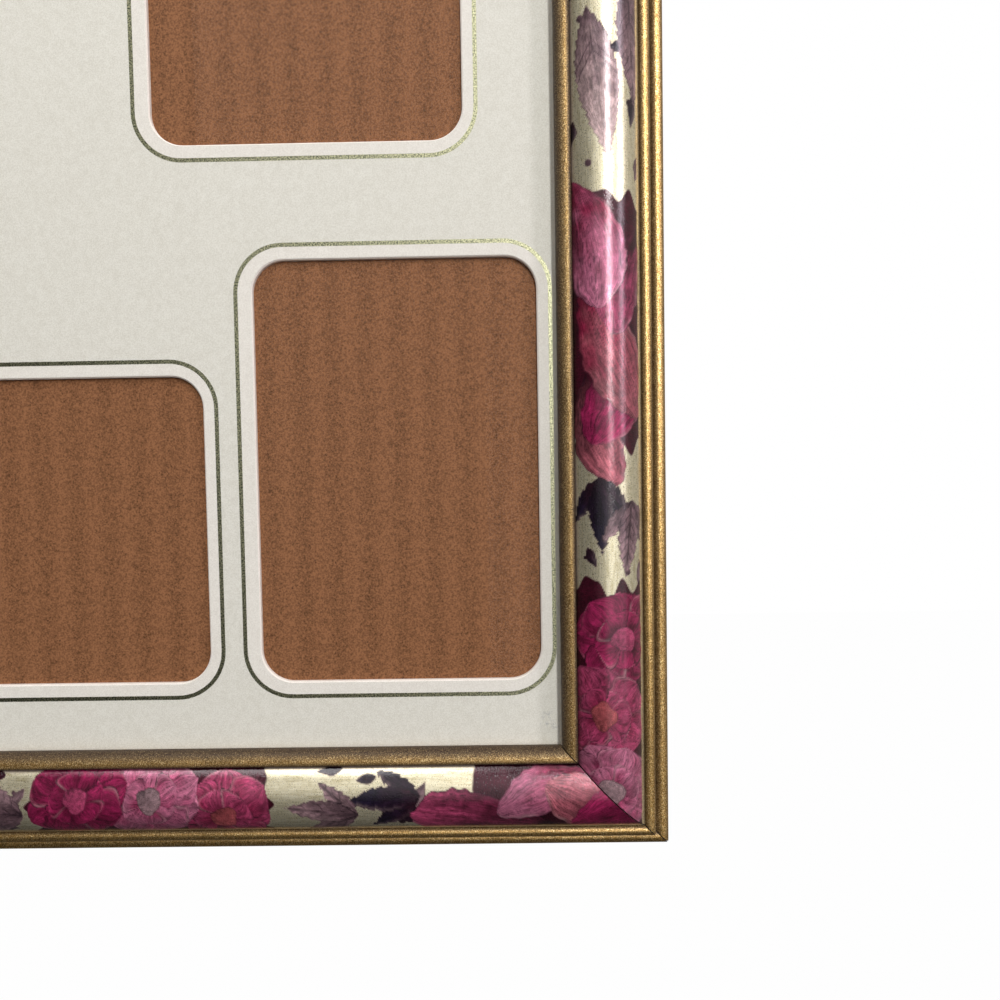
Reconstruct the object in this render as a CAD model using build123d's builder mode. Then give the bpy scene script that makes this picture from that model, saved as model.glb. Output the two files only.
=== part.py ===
from build123d import *
import math
import os

# A collage photo frame that hangs upright on a wall. Sizes are in millimetres.
# X runs to the right as seen from the front, Y from the front towards the wall, Z up.
# The origin is the middle of the frame's back, on the outer face of the backing board.
# The flat back of the moulding lies at Y = 0 and everything in front of it has Y below 0.

os.makedirs("parts", exist_ok=True)

# Sheets held in the rabbet, from the front: glass, mat, corrugated pad, backing board
glass_width = 279.4
glass_height = 355.6
glass_thickness = 2.0
mat_thickness = 1.4
pad_thickness = 4.8
backing_thickness = 3.0
sheet_play = 0.8
lip_overlap = 6.35

# Moulding section: inner lip, printed band and reeded outer edge
lip_foot = 0.7
lip_radius = 3.2
lip_drop = 0.9
band_width = 17.6
band_fall = 1.8
band_rise = 4.75
band_thickness = 0.35
glue_line = 0.02
reeding_width = 7.7
upper_bead_radius = 1.5
upper_bead_inset = 1.8
upper_bead_drop = 1.5
lower_bead_radius = 1.9
lower_bead_height = 5.8
cove_depth = 0.55
back_edge_radius = 0.8

# Angles at which the two beads start and end, counted up from the outward direction
upper_bead_start = 158
upper_bead_end = -10
lower_bead_start = 150

# Mat openings with their corner radius and spacing
portrait_width = 75.5
portrait_height = 112.8
wallet_width = 82.4
wallet_height = 59.0
wallet_offset = 68.3
centre_height = 82.6
side_margin = 5.0
end_margin = 17.3
neighbour_gap = 14.0
opening_radius = 8.6

# Corrugated pad
liner_thickness = 0.35
flute_pitch = 8.82
flute_sheet = 0.3
flute_sink = 0.1

# Corner fasteners, driven into the back across each mitre
nail_leg = 7.0
nail_gauge = 0.5
nail_depth = 8.0
nail_insets = (14.0, 24.0)

# Turn buttons that hold the backing board in, and their screws
button_thickness = 1.2
button_eye_radius = 5.0
button_tip_radius = 3.4
button_reach = 15.0
button_play = 0.15
button_edge = 0.2
button_screw_inset = 6.5
button_spread_share = 0.55
button_rib_length = 8.0
button_rib_width = 2.2
button_rib_height = 0.4
screw_radius = 1.6
screw_clearance = 0.08
screw_length = 10.0
screw_point = 3.0
screw_head_radius = 3.2
screw_head_height = 1.7
screw_head_edge = 0.8
recess_length = 3.4
recess_width = 0.8
recess_depth = 1.0
pilot_clearance = 0.02

# Sawtooth hanger and its nails, on the back of the top rail
hanger_length = 46.0
hanger_height = 9.0
hanger_thickness = 0.8
hanger_lift = 2.2
hanger_flat = 8.0
hanger_ramp = 4.0
hanger_corner = 1.2
tooth_count = 9
tooth_pitch = 2.6
tooth_depth = 1.3
hanger_nail_inset = 3.6
hanger_nail_radius = 0.7
hanger_nail_length = 9.0
hanger_nail_head_radius = 1.6
hanger_nail_head_height = 0.6
hanger_hole_clearance = 0.15

# How far a cutting or trimming shape runs past what it cuts
overrun = 1.0

# Sizes that follow from the ones above
sight_width = glass_width - 2 * lip_overlap
sight_height = glass_height - 2 * lip_overlap
rabbet_wall = lip_overlap + sheet_play
backing_front = backing_thickness
pad_front = backing_front + pad_thickness
mat_front = pad_front + mat_thickness
ledge_height = mat_front + glass_thickness
lip_width = lip_radius + lip_drop
band_end = lip_width + band_width
moulding_width = band_end + reeding_width
front = Vector(0, -1, 0)

# Each side's outward direction, the distance from the middle to its sight edge and half of
# that edge's length
sides = {
    "top": (Vector(0, 0, 1), sight_height / 2, sight_width / 2),
    "bottom": (Vector(0, 0, -1), sight_height / 2, sight_width / 2),
    "left": (Vector(-1, 0, 0), sight_width / 2, sight_height / 2),
    "right": (Vector(1, 0, 0), sight_width / 2, sight_height / 2),
}


def polar(centre: tuple, radius: float, angle: float) -> tuple:
    """Return the point at an angle in degrees on a circle in the section plane."""
    turn = math.radians(angle)
    return centre[0] + radius * math.cos(turn), centre[1] + radius * math.sin(turn)


def angle_of(centre: tuple, point: tuple) -> float:
    """Return the angle in degrees at which a point lies as seen from a centre."""
    return math.degrees(math.atan2(point[1] - centre[1], point[0] - centre[0]))


# The section plane's first axis runs outward from the sight edge, its second axis runs from
# the back towards the front. The printed band is an arc through its two ends and its crown.
valley = (lip_width, ledge_height + lip_foot + lip_radius - lip_drop)
band_foot = (band_end, valley[1] - band_fall)
half_chord = math.dist(valley, band_foot) / 2
band_radius = (half_chord**2 + band_rise**2) / (2 * band_rise)
chord_angle = angle_of(valley, band_foot)
chord_middle = ((valley[0] + band_foot[0]) / 2, (valley[1] + band_foot[1]) / 2)
band_centre = polar(chord_middle, band_radius - band_rise, chord_angle - 90)
band_inner_angle = angle_of(band_centre, valley)
band_outer_angle = angle_of(band_centre, band_foot)
band_sweep = band_inner_angle - band_outer_angle
band_back_radius = band_radius - band_thickness
core_radius = band_back_radius - glue_line
upper_bead = (band_end + upper_bead_inset, band_foot[1] - upper_bead_drop)
lower_bead = (moulding_width - lower_bead_radius, lower_bead_height)

# Wooden core of the moulding, with the rabbet at its back and a seat for the printed band
with BuildSketch() as core_section:
    with BuildLine():
        Polyline((rabbet_wall, 0), (rabbet_wall, ledge_height), (0, ledge_height), (0, ledge_height + lip_foot))
        lip = JernArc((0, ledge_height + lip_foot), (0, 1), lip_radius, -90)
        JernArc(lip @ 1, lip % 1, lip_drop, -90)
        Line(valley, polar(band_centre, core_radius, band_inner_angle))
        CenterArc(band_centre, core_radius, band_outer_angle, band_sweep)
        Line(polar(band_centre, core_radius, band_outer_angle), band_foot)
        Line(band_foot, polar(upper_bead, upper_bead_radius, upper_bead_start))
        CenterArc(upper_bead, upper_bead_radius, upper_bead_end, upper_bead_start - upper_bead_end)
        cove_top = polar(upper_bead, upper_bead_radius, upper_bead_end)
        cove_foot = polar(lower_bead, lower_bead_radius, lower_bead_start)
        SagittaArc(cove_top, cove_foot, -cove_depth)
        CenterArc(lower_bead, lower_bead_radius, 0, lower_bead_start)
        Line((moulding_width, lower_bead_height), (moulding_width, back_edge_radius))
        JernArc((moulding_width, back_edge_radius), (0, -1), back_edge_radius, -90)
        Line((moulding_width - back_edge_radius, 0), (rabbet_wall, 0))
    make_face()

# Printed foil paper, wrapped over the crown of the moulding
with BuildSketch() as band_section:
    with BuildLine():
        CenterArc(band_centre, band_radius, band_outer_angle, band_sweep)
        Line(valley, polar(band_centre, band_back_radius, band_inner_angle))
        CenterArc(band_centre, band_back_radius, band_outer_angle, band_sweep)
        Line(polar(band_centre, band_back_radius, band_outer_angle), band_foot)
    make_face()


def section_plane(side: str) -> Plane:
    """Return the plane of a side's section, at the middle of its sight edge."""
    outward, reach, _ = sides[side]
    return Plane(origin=outward * reach, x_dir=outward, z_dir=outward.cross(front))


def mitre_planes(side: str) -> list:
    """Return the two planes at 45 degrees that end a side, facing away from it."""
    outward, reach, half_edge = sides[side]
    along = outward.cross(front)
    ends = (along, along * -1)
    return [Plane(origin=outward * reach + end * half_edge, z_dir=end - outward) for end in ends]


# Planes on the back of the moulding, facing the wall: a button's screw, with the first axis
# pointing in over the backing board, and the hanger's middle
button_planes = {}
for side, (outward, reach, half_edge) in sides.items():
    along = outward.cross(front)
    for place, sign in (("a", -1), ("b", 1)):
        screw_place = outward * (reach + rabbet_wall + button_screw_inset)
        screw_place = screw_place + along * (sign * half_edge * button_spread_share)
        button_planes[f"turn_button_{side}_{place}"] = Plane(
            origin=screw_place, x_dir=outward * -1, z_dir=front * -1
        )
hanger_plane = Plane(
    origin=(0, 0, sight_height / 2 + (rabbet_wall + moulding_width) / 2), x_dir=(1, 0, 0), z_dir=(0, 1, 0)
)
hanger_nail_places = [(sign * (hanger_length / 2 - hanger_nail_inset), 0) for sign in (-1, 1)]

# Corner nails: an L of thin steel at each place, one leg in either rail
with BuildPart() as corner_nails:
    with BuildSketch(Plane.XZ):
        for x_sign in (-1, 1):
            for z_sign in (-1, 1):
                corner_align = (
                    Align.MAX if x_sign > 0 else Align.MIN,
                    Align.MAX if z_sign > 0 else Align.MIN,
                )
                for inset in nail_insets:
                    apex = (x_sign * (sight_width / 2 + inset), z_sign * (sight_height / 2 + inset))
                    with Locations(apex):
                        Rectangle(nail_leg, nail_gauge, align=corner_align)
                        Rectangle(nail_gauge, nail_leg, align=corner_align)
    extrude(amount=nail_depth)
corner_nails.part.label = "corner_nails"
export_step(corner_nails.part, "parts/corner_nails.step")

# Four mitred rails, slotted for the corner nails and drilled for the screws on their backs
for side, (outward, reach, half_edge) in sides.items():
    side_buttons = [plane for name, plane in button_planes.items() if f"_{side}_" in name]
    with BuildPart() as rail:
        with BuildSketch(section_plane(side)):
            add(core_section.sketch)
        extrude(amount=half_edge + moulding_width + overrun, both=True)
        for mitre in mitre_planes(side):
            split(bisect_by=mitre, keep=Keep.BOTTOM)
        add(corner_nails.part, mode=Mode.SUBTRACT)
        with Locations(*side_buttons):
            Hole(screw_radius + pilot_clearance, depth=screw_length)
        if side == "top":
            with Locations(hanger_plane):
                with Locations(*hanger_nail_places):
                    Hole(hanger_nail_radius + pilot_clearance, depth=hanger_nail_length)
    rail.part.label = f"rail_{side}"
    export_step(rail.part, f"parts/rail_{side}.step")

    with BuildPart() as printed_band:
        with BuildSketch(section_plane(side)):
            add(band_section.sketch)
        extrude(amount=half_edge + moulding_width + overrun, both=True)
        for mitre in mitre_planes(side):
            split(bisect_by=mitre, keep=Keep.BOTTOM)
    printed_band.part.label = f"printed_band_{side}"
    export_step(printed_band.part, f"parts/printed_band_{side}.step")

# Glass pane, resting on the rabbet's ledge
with BuildPart() as glass_pane:
    with BuildSketch(Plane.XZ.offset(mat_front)):
        Rectangle(glass_width, glass_height)
    extrude(amount=glass_thickness)
glass_pane.part.label = "glass_pane"
export_step(glass_pane.part, "parts/glass_pane.step")

# Mat openings, each as its middle and its size: three along the bottom, two wallet openings
# above them, and two of the portrait size laid on their sides at the top, each in the middle of
# its half. The three rows stand equally far apart.
portrait_x = sight_width / 2 - side_margin - portrait_width / 2
bottom_edge = end_margin - sight_height / 2
centre_width = 2 * (portrait_x - portrait_width / 2 - neighbour_gap)
row_gap = (sight_height - 2 * end_margin - portrait_height - wallet_height - portrait_width) / 2
landscape_x = sight_width / 4
landscape_z = sight_height / 2 - end_margin - portrait_width / 2
wallet_z = bottom_edge + portrait_height + row_gap + wallet_height / 2
mat_openings = [
    (0, bottom_edge + centre_height / 2, centre_width, centre_height),
]
for sign in (-1, 1):
    mat_openings += [
        (sign * portrait_x, bottom_edge + portrait_height / 2, portrait_width, portrait_height),
        (sign * wallet_offset, wallet_z, wallet_width, wallet_height),
        (sign * landscape_x, landscape_z, portrait_height, portrait_width),
    ]

with BuildPart() as mat_board:
    with BuildSketch(Plane.XZ.offset(pad_front)):
        Rectangle(glass_width, glass_height)
        for x, z, width, height in mat_openings:
            with Locations((x, z)):
                RectangleRounded(width, height, opening_radius, mode=Mode.SUBTRACT)
    extrude(amount=mat_thickness)
mat_board.part.label = "mat_board"
export_step(mat_board.part, "parts/mat_board.step")

# Corrugated pad: a waved sheet between two liners, with the flutes upright. The wave's middle
# line is a chain of equal arcs that meet halfway between the liners, where its slope is steepest.
wave_height = pad_thickness - 2 * liner_thickness + 2 * flute_sink - flute_sheet
quarter_pitch = flute_pitch / 4
wave_angle = 2 * math.degrees(math.atan(wave_height / 2 / quarter_pitch))
wave_radius = quarter_pitch / math.sin(math.radians(wave_angle))
arc_count = 2 * (math.ceil(glass_width / flute_pitch) + 1)
pad_middle = backing_front + pad_thickness / 2


def wave_arc(index: int) -> tuple:
    """Return the centre of one arc of the waved sheet, and 1 or -1 for the way it bulges."""
    bulge = 1 if index % 2 else -1
    x = (2 * index + 1 - arc_count) * quarter_pitch
    return (x, bulge * (wave_height / 2 - wave_radius) - pad_middle), bulge


with BuildPart() as corrugated_pad:
    with BuildSketch(Plane.XY.offset(-glass_height / 2)):
        with BuildLine():
            for index in range(arc_count):
                arc_centre, bulge = wave_arc(index)
                for radius in (wave_radius - flute_sheet / 2, wave_radius + flute_sheet / 2):
                    CenterArc(arc_centre, radius, bulge * 90 - wave_angle, 2 * wave_angle)
            for index, end_angle in ((0, -90 - wave_angle), (arc_count - 1, 90 - wave_angle)):
                arc_centre, bulge = wave_arc(index)
                end_radii = (wave_radius - flute_sheet / 2, wave_radius + flute_sheet / 2)
                Line(*[polar(arc_centre, radius, end_angle) for radius in end_radii])
        make_face()
        with Locations((0, -pad_middle)):
            Rectangle(glass_width, pad_thickness, mode=Mode.INTERSECT)
        with Locations((0, -backing_front)):
            Rectangle(glass_width, liner_thickness, align=(Align.CENTER, Align.MAX))
        with Locations((0, -pad_front)):
            Rectangle(glass_width, liner_thickness, align=(Align.CENTER, Align.MIN))
    extrude(amount=glass_height)
corrugated_pad.part.label = "corrugated_pad"
export_step(corrugated_pad.part, "parts/corrugated_pad.step")

# Hardboard backing, flush with the back of the moulding
with BuildPart() as backing_board:
    with BuildSketch(Plane.XZ):
        Rectangle(glass_width, glass_height)
    extrude(amount=backing_thickness)
backing_board.part.label = "backing_board"
export_step(backing_board.part, "parts/backing_board.step")

# Turn buttons: stamped plates with a stiffening rib, each turning on its own screw
for name, plane in button_planes.items():
    with BuildPart() as turn_button:
        with BuildSketch(plane.offset(button_play)):
            Circle(button_eye_radius)
            with Locations((button_reach, 0)):
                Circle(button_tip_radius)
            make_hull()
            Circle(screw_radius + screw_clearance, mode=Mode.SUBTRACT)
        extrude(amount=button_thickness)
        outer_rim = turn_button.faces().sort_by(Axis.Y)[-1].outer_wire().edges()
        chamfer(outer_rim, button_edge)
        with BuildSketch(plane.offset(button_play + button_thickness)):
            with Locations((button_reach - button_rib_length / 2, 0)):
                SlotOverall(button_rib_length, button_rib_width)
        extrude(amount=button_rib_height)
    turn_button.part.label = name
    export_step(turn_button.part, f"parts/{name}.step")

# Pan-head screws: the head stands clear of its button, so that the button can turn
head_seat = 2 * button_play + button_thickness
with BuildPart() as screw:
    with BuildSketch(Plane.XZ):
        with BuildLine():
            Polyline(
                (0, -screw_length),
                (screw_radius, screw_point - screw_length),
                (screw_radius, head_seat),
                (screw_head_radius, head_seat),
                (screw_head_radius, head_seat + screw_head_height - screw_head_edge),
            )
            JernArc(
                (screw_head_radius, head_seat + screw_head_height - screw_head_edge),
                (0, 1),
                screw_head_edge,
                90,
            )
            Polyline(
                (screw_head_radius - screw_head_edge, head_seat + screw_head_height),
                (0, head_seat + screw_head_height),
                (0, -screw_length),
            )
        make_face()
    revolve(axis=Axis.Z)
    with BuildSketch(Plane.XY.offset(head_seat + screw_head_height)):
        Rectangle(recess_length, recess_width)
        Rectangle(recess_width, recess_length)
    extrude(amount=-recess_depth, mode=Mode.SUBTRACT)

with BuildPart() as button_screws:
    with Locations(*button_planes.values()):
        add(screw.part)
button_screws.part.label = "button_screws"
export_step(button_screws.part, "parts/button_screws.step")

# Sawtooth hanger: a steel strip whose raised middle leaves room for a nail behind it
with BuildPart() as sawtooth_hanger:
    with BuildSketch(Plane.XY.offset(hanger_plane.origin.Z - hanger_height / 2)):
        strip_half = hanger_length / 2
        ramp_foot = strip_half - hanger_flat
        ramp_head = ramp_foot - hanger_ramp
        under_side = [
            (-strip_half, 0),
            (-ramp_foot, 0),
            (-ramp_head, hanger_lift),
            (ramp_head, hanger_lift),
            (ramp_foot, 0),
            (strip_half, 0),
        ]
        outer_side = [(x, y + hanger_thickness) for x, y in reversed(under_side)]
        with BuildLine():
            Polyline(*under_side, *outer_side, close=True)
        make_face()
    extrude(amount=hanger_height)
    fillet(
        sawtooth_hanger.edges().filter_by(Axis.Y).group_by(Axis.X)[0]
        + sawtooth_hanger.edges().filter_by(Axis.Y).group_by(Axis.X)[-1],
        hanger_corner,
    )
    with BuildSketch(Plane.XZ):
        with Locations((0, hanger_plane.origin.Z - hanger_height / 2)):
            with GridLocations(tooth_pitch, 0, tooth_count, 1):
                with BuildLine():
                    Polyline((-tooth_pitch / 2, 0), (0, tooth_depth), (tooth_pitch / 2, 0), close=True)
                make_face()
    extrude(amount=-hanger_lift - hanger_thickness - overrun, mode=Mode.SUBTRACT)
    with Locations(hanger_plane.offset(hanger_thickness)):
        with Locations(*hanger_nail_places):
            Hole(hanger_nail_radius + hanger_hole_clearance, depth=hanger_thickness)
sawtooth_hanger.part.label = "sawtooth_hanger"
export_step(sawtooth_hanger.part, "parts/sawtooth_hanger.step")

# Two flat-headed nails that hold the hanger
with BuildPart() as hanger_nails:
    with BuildSketch(hanger_plane.offset(hanger_thickness)):
        with Locations(*hanger_nail_places):
            Circle(hanger_nail_radius)
    extrude(amount=-hanger_nail_length - hanger_thickness)
    with BuildSketch(hanger_plane.offset(hanger_thickness)):
        with Locations(*hanger_nail_places):
            Circle(hanger_nail_head_radius)
    extrude(amount=hanger_nail_head_height)
hanger_nails.part.label = "hanger_nails"
export_step(hanger_nails.part, "parts/hanger_nails.step")
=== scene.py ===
"""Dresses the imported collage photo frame: gilded rails, printed bands, mat, glass and back fittings."""

from __future__ import annotations

import logging
import math
from dataclasses import dataclass
from enum import Enum

import bmesh
import bpy
import numpy as np
from mathutils import Matrix, Vector

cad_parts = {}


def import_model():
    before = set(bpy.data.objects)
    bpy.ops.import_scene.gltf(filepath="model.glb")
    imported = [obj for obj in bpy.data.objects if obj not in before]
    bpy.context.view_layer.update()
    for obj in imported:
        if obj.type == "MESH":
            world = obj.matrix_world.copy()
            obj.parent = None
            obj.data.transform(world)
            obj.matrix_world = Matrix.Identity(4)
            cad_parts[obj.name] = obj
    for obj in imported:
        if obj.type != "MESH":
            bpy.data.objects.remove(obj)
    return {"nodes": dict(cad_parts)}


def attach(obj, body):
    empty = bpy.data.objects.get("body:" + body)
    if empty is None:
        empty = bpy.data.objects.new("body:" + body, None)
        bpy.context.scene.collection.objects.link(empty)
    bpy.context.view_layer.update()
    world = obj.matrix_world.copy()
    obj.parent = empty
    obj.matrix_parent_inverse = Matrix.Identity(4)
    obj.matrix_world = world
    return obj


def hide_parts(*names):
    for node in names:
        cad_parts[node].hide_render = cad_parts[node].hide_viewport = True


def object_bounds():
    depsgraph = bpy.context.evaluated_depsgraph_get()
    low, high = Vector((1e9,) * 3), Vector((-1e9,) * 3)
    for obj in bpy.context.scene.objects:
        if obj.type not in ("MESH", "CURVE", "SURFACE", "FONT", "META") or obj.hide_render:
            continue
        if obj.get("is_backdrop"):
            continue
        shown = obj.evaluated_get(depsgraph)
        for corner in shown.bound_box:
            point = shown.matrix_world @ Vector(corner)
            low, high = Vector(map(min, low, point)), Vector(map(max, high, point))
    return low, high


MM = 0.001
FRAME_BODY = "frame"
SHARP_ANGLE = math.radians(34)
# How close in millimetres a face's middle lies to a plane that it belongs to.
ON_PLANE = 0.01
# Odd numbers that scramble a cell's place and seed into its random value.
CELL_MIX = (374761393, 668265263, 974711)
BIT_MIX = 1274126177
# Directions, in radians from outward, of the flats that round a frame corner up to its mitre.
CORNER_TURNS = (0.2, 0.5, 0.8)

# The middle of what the photograph shows, in metres, which every lamp faces.
LIT_POINT = (0.12, 0.0, -0.05)

log = logging.getLogger("collage_frame")


def linear(code: str) -> tuple[float, float, float, float]:
    """Turns an sRGB colour into linear light.

    Args:
        code: Six hex digits, red first.

    Returns:
        Red, green, blue and an alpha of one.
    """
    parts = [int(code[i : i + 2], 16) / 255 for i in (0, 2, 4)]
    bent = [p / 12.92 if p <= 0.04045 else ((p + 0.055) / 1.055) ** 2.4 for p in parts]
    return bent[0], bent[1], bent[2], 1.0


def ink(code: str) -> np.ndarray:
    """Returns an sRGB hex colour as three linear numbers for the print's painter."""
    return np.array(linear(code)[:3])


def feed(node: bpy.types.Node, inputs: dict) -> None:
    """Sets or links a node's inputs.

    Args:
        node: The node that takes them.
        inputs: Socket names or numbers, each with a value, a node or an output socket. A Mix node
            takes numbers at 2 and 3, vectors at 4 and 5 and colours at 6 and 7.
    """
    for key, value in inputs.items():
        if isinstance(value, bpy.types.Node):
            value = value.outputs[0]
        if isinstance(value, bpy.types.NodeSocket):
            node.id_data.links.new(value, node.inputs[key])
        else:
            node.inputs[key].default_value = value


def add(
    tree: bpy.types.NodeTree, kind: str, inputs: dict | None = None, **settings: object
) -> bpy.types.Node:
    """Adds a shader node with its settings and links.

    Args:
        tree: The node tree that gets the node.
        kind: The node's type without its ShaderNode prefix.
        inputs: Socket names or numbers, each with a value, a node or an output socket.
        settings: Properties of the node; stops gives a colour ramp's places and colours.

    Returns:
        The new node.
    """
    node = tree.nodes.new("ShaderNode" + kind)
    stops = settings.pop("stops", None)
    for name, value in settings.items():
        setattr(node, name, value)
    if stops:
        elements = node.color_ramp.elements
        while len(elements) < len(stops):
            elements.new(0.5)
        for element, (place, colour) in zip(elements, stops):
            element.position = place
            element.color = colour if isinstance(colour, tuple) else (colour, colour, colour, 1.0)
    feed(node, inputs or {})
    return node


class Side(Enum):
    """One side of the frame, with its outward direction as (x, z)."""

    TOP = (0, 1)
    BOTTOM = (0, -1)
    LEFT = (-1, 0)
    RIGHT = (1, 0)

    @property
    def label(self) -> str:
        """Returns the side's name as the CAD nodes write it."""
        return self.name.lower()


@dataclass(frozen=True)
class FrameSizes:
    """Sizes in millimetres that several pieces share, counted from the middle and the flat back."""

    sight_x: float = 133.35
    sight_z: float = 171.45
    glass_x: float = 139.7
    glass_z: float = 177.8
    pad_front: float = 7.8
    mat_front: float = 9.2
    glass_front: float = 11.2

    def reach(self, side: Side) -> float:
        """Returns how far a side's sight edge lies from the frame's middle."""
        return self.sight_x if side.value[0] else self.sight_z

    def half_edge(self, side: Side) -> float:
        """Returns half the length of a side's sight edge."""
        return self.sight_z if side.value[0] else self.sight_x

    def placement(self, side: Side) -> Matrix:
        """Returns the matrix that takes a section's outward, forward and along axes to the frame.

        Args:
            side: The side that the section belongs to.

        Returns:
            A matrix from millimetres in the section's axes to metres in the frame.
        """
        outward = Vector((side.value[0], 0, side.value[1]))
        forward = Vector((0, -1, 0))
        along = outward.cross(forward)
        origin = outward * self.reach(side)
        turned = Matrix((outward, forward, along)).transposed().to_4x4()
        return Matrix.Scale(MM, 4) @ Matrix.Translation(origin) @ turned


SIZES = FrameSizes()


def made_verts(geom: list) -> list[bmesh.types.BMVert]:
    """Returns the vertices among what an operator made."""
    return [v for v in geom if isinstance(v, bmesh.types.BMVert)]


def make_object(name: str, bm: bmesh.types.BMesh, finishes: list[bpy.types.Material]) -> bpy.types.Object:
    """Turns a finished bmesh into an object at the origin, and frees it.

    Args:
        name: The object's name.
        bm: The mesh, in metres.
        finishes: Materials in the order of the faces' material numbers.

    Returns:
        The new object.
    """
    mesh = bpy.data.meshes.new(name)
    bm.to_mesh(mesh)
    bm.free()
    for finish in finishes:
        mesh.materials.append(finish)
    made = bpy.data.objects.new(name, mesh)
    bpy.context.scene.collection.objects.link(made)
    return made


def make_piece(
    name: str,
    bm: bmesh.types.BMesh,
    finishes: list[bpy.types.Material],
    replaces: tuple[str, ...] = (),
) -> bpy.types.Object:
    """Turns a finished bmesh into a piece that rides on the frame.

    Args:
        name: The piece's name.
        bm: The mesh, already in the frame's place and in metres. It is freed.
        finishes: Materials in the order of the faces' material numbers.
        replaces: The CAD nodes that the piece stands for.

    Returns:
        The new object.
    """
    for edge in bm.edges:
        edge.smooth = len(edge.link_faces) == 2 and edge.calc_face_angle(0.0) < SHARP_ANGLE
    for face in bm.faces:
        face.smooth = True
    piece = make_object(name, bm, finishes)
    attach(piece, FRAME_BODY)
    if replaces:
        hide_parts(*replaces)
    log.info("%s: %d faces", name, len(piece.data.polygons))
    return piece


class SectionWire:
    """A moulding's section drawn as one wire, outward along X and forward along Y, in millimetres."""

    def __init__(self, start: tuple[float, float]) -> None:
        """Starts the wire at a point.

        Args:
            start: The first point.
        """
        self.bm = bmesh.new()
        self.first = self.bm.verts.new((*start, 0.0))
        self.tip = self.first

    def line(self, *points: tuple[float, float]) -> None:
        """Draws straight runs.

        Args:
            points: The end of each run in turn.
        """
        for point in points:
            made = bmesh.ops.extrude_vert_indiv(self.bm, verts=[self.tip])
            self.tip = made["verts"][0]
            self.tip.co = (*point, 0.0)

    def arc(self, centre: tuple[float, float], degrees: float, steps: int) -> None:
        """Turns the wire's tip about a centre.

        Args:
            centre: The arc's centre.
            degrees: The angle turned, positive against the clock.
            steps: The number of edges.
        """
        made = bmesh.ops.spin(
            self.bm,
            geom=[self.tip],
            cent=(*centre, 0.0),
            axis=(0, 0, 1),
            angle=math.radians(degrees),
            steps=steps,
            use_duplicate=False,
        )
        self.tip = made["geom_last"][0]

    def sweep(
        self, side: Side, half: float, steps: int, gap: float, corner: float = 0.0
    ) -> bmesh.types.BMesh:
        """Closes the wire, draws it along a side and mitres both ends.

        Args:
            side: The side that the moulding runs along.
            half: Half the length before the mitres are cut.
            steps: The number of divisions along the length.
            gap: The width of the joint left open at each mitre.
            corner: The radius of the frame's outer corners.

        Returns:
            A closed mesh in the frame's place, in metres.
        """
        bm = self.bm
        bmesh.ops.contextual_create(bm, geom=[self.tip, self.first])
        bmesh.ops.translate(bm, vec=(0, 0, -half), verts=bm.verts[:])
        far = made_verts(bmesh.ops.extrude_edge_only(bm, edges=bm.edges[:])["geom"])
        bmesh.ops.translate(bm, vec=(0, 0, 2 * half), verts=far)
        if steps > 1:
            long = [e for v in far for e in v.link_edges if e.other_vert(v).co.z < v.co.z - half]
            bmesh.ops.subdivide_edges(bm, edges=long, cuts=steps - 1, use_grid_fill=True)
        reach = SECTION.width - corner
        for end in (-1, 1):
            self.cut(bm, (0, 0, end * (SIZES.half_edge(side) - gap)), (-1, 0, end))
            centre = Vector((reach, 0, end * (SIZES.half_edge(side) + reach)))
            for turn in CORNER_TURNS if corner else ():
                facing = Vector((math.cos(turn), 0, end * math.sin(turn)))
                self.cut(bm, centre + corner * facing, facing)
        bmesh.ops.recalc_face_normals(bm, faces=bm.faces[:])
        bmesh.ops.transform(bm, matrix=SIZES.placement(side), verts=bm.verts[:])
        return bm

    def cut(self, bm: bmesh.types.BMesh, point: Vector, facing: Vector) -> None:
        """Cuts off what lies past a plane and closes the cut.

        Args:
            bm: The drawn moulding.
            point: A point of the plane.
            facing: The plane's outward direction.
        """
        made = bmesh.ops.bisect_plane(
            bm,
            geom=bm.verts[:] + bm.edges[:] + bm.faces[:],
            dist=1e-6,
            plane_co=point,
            plane_no=Vector(facing).normalized(),
            clear_outer=True,
        )
        rim = [e for e in made["geom_cut"] if isinstance(e, bmesh.types.BMEdge)]
        bmesh.ops.contextual_create(bm, geom=rim)


def on_circle(centre: tuple[float, float], radius: float, degrees: float) -> tuple[float, float]:
    """Returns the point at an angle on a circle."""
    turn = math.radians(degrees)
    return centre[0] + radius * math.cos(turn), centre[1] + radius * math.sin(turn)


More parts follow.
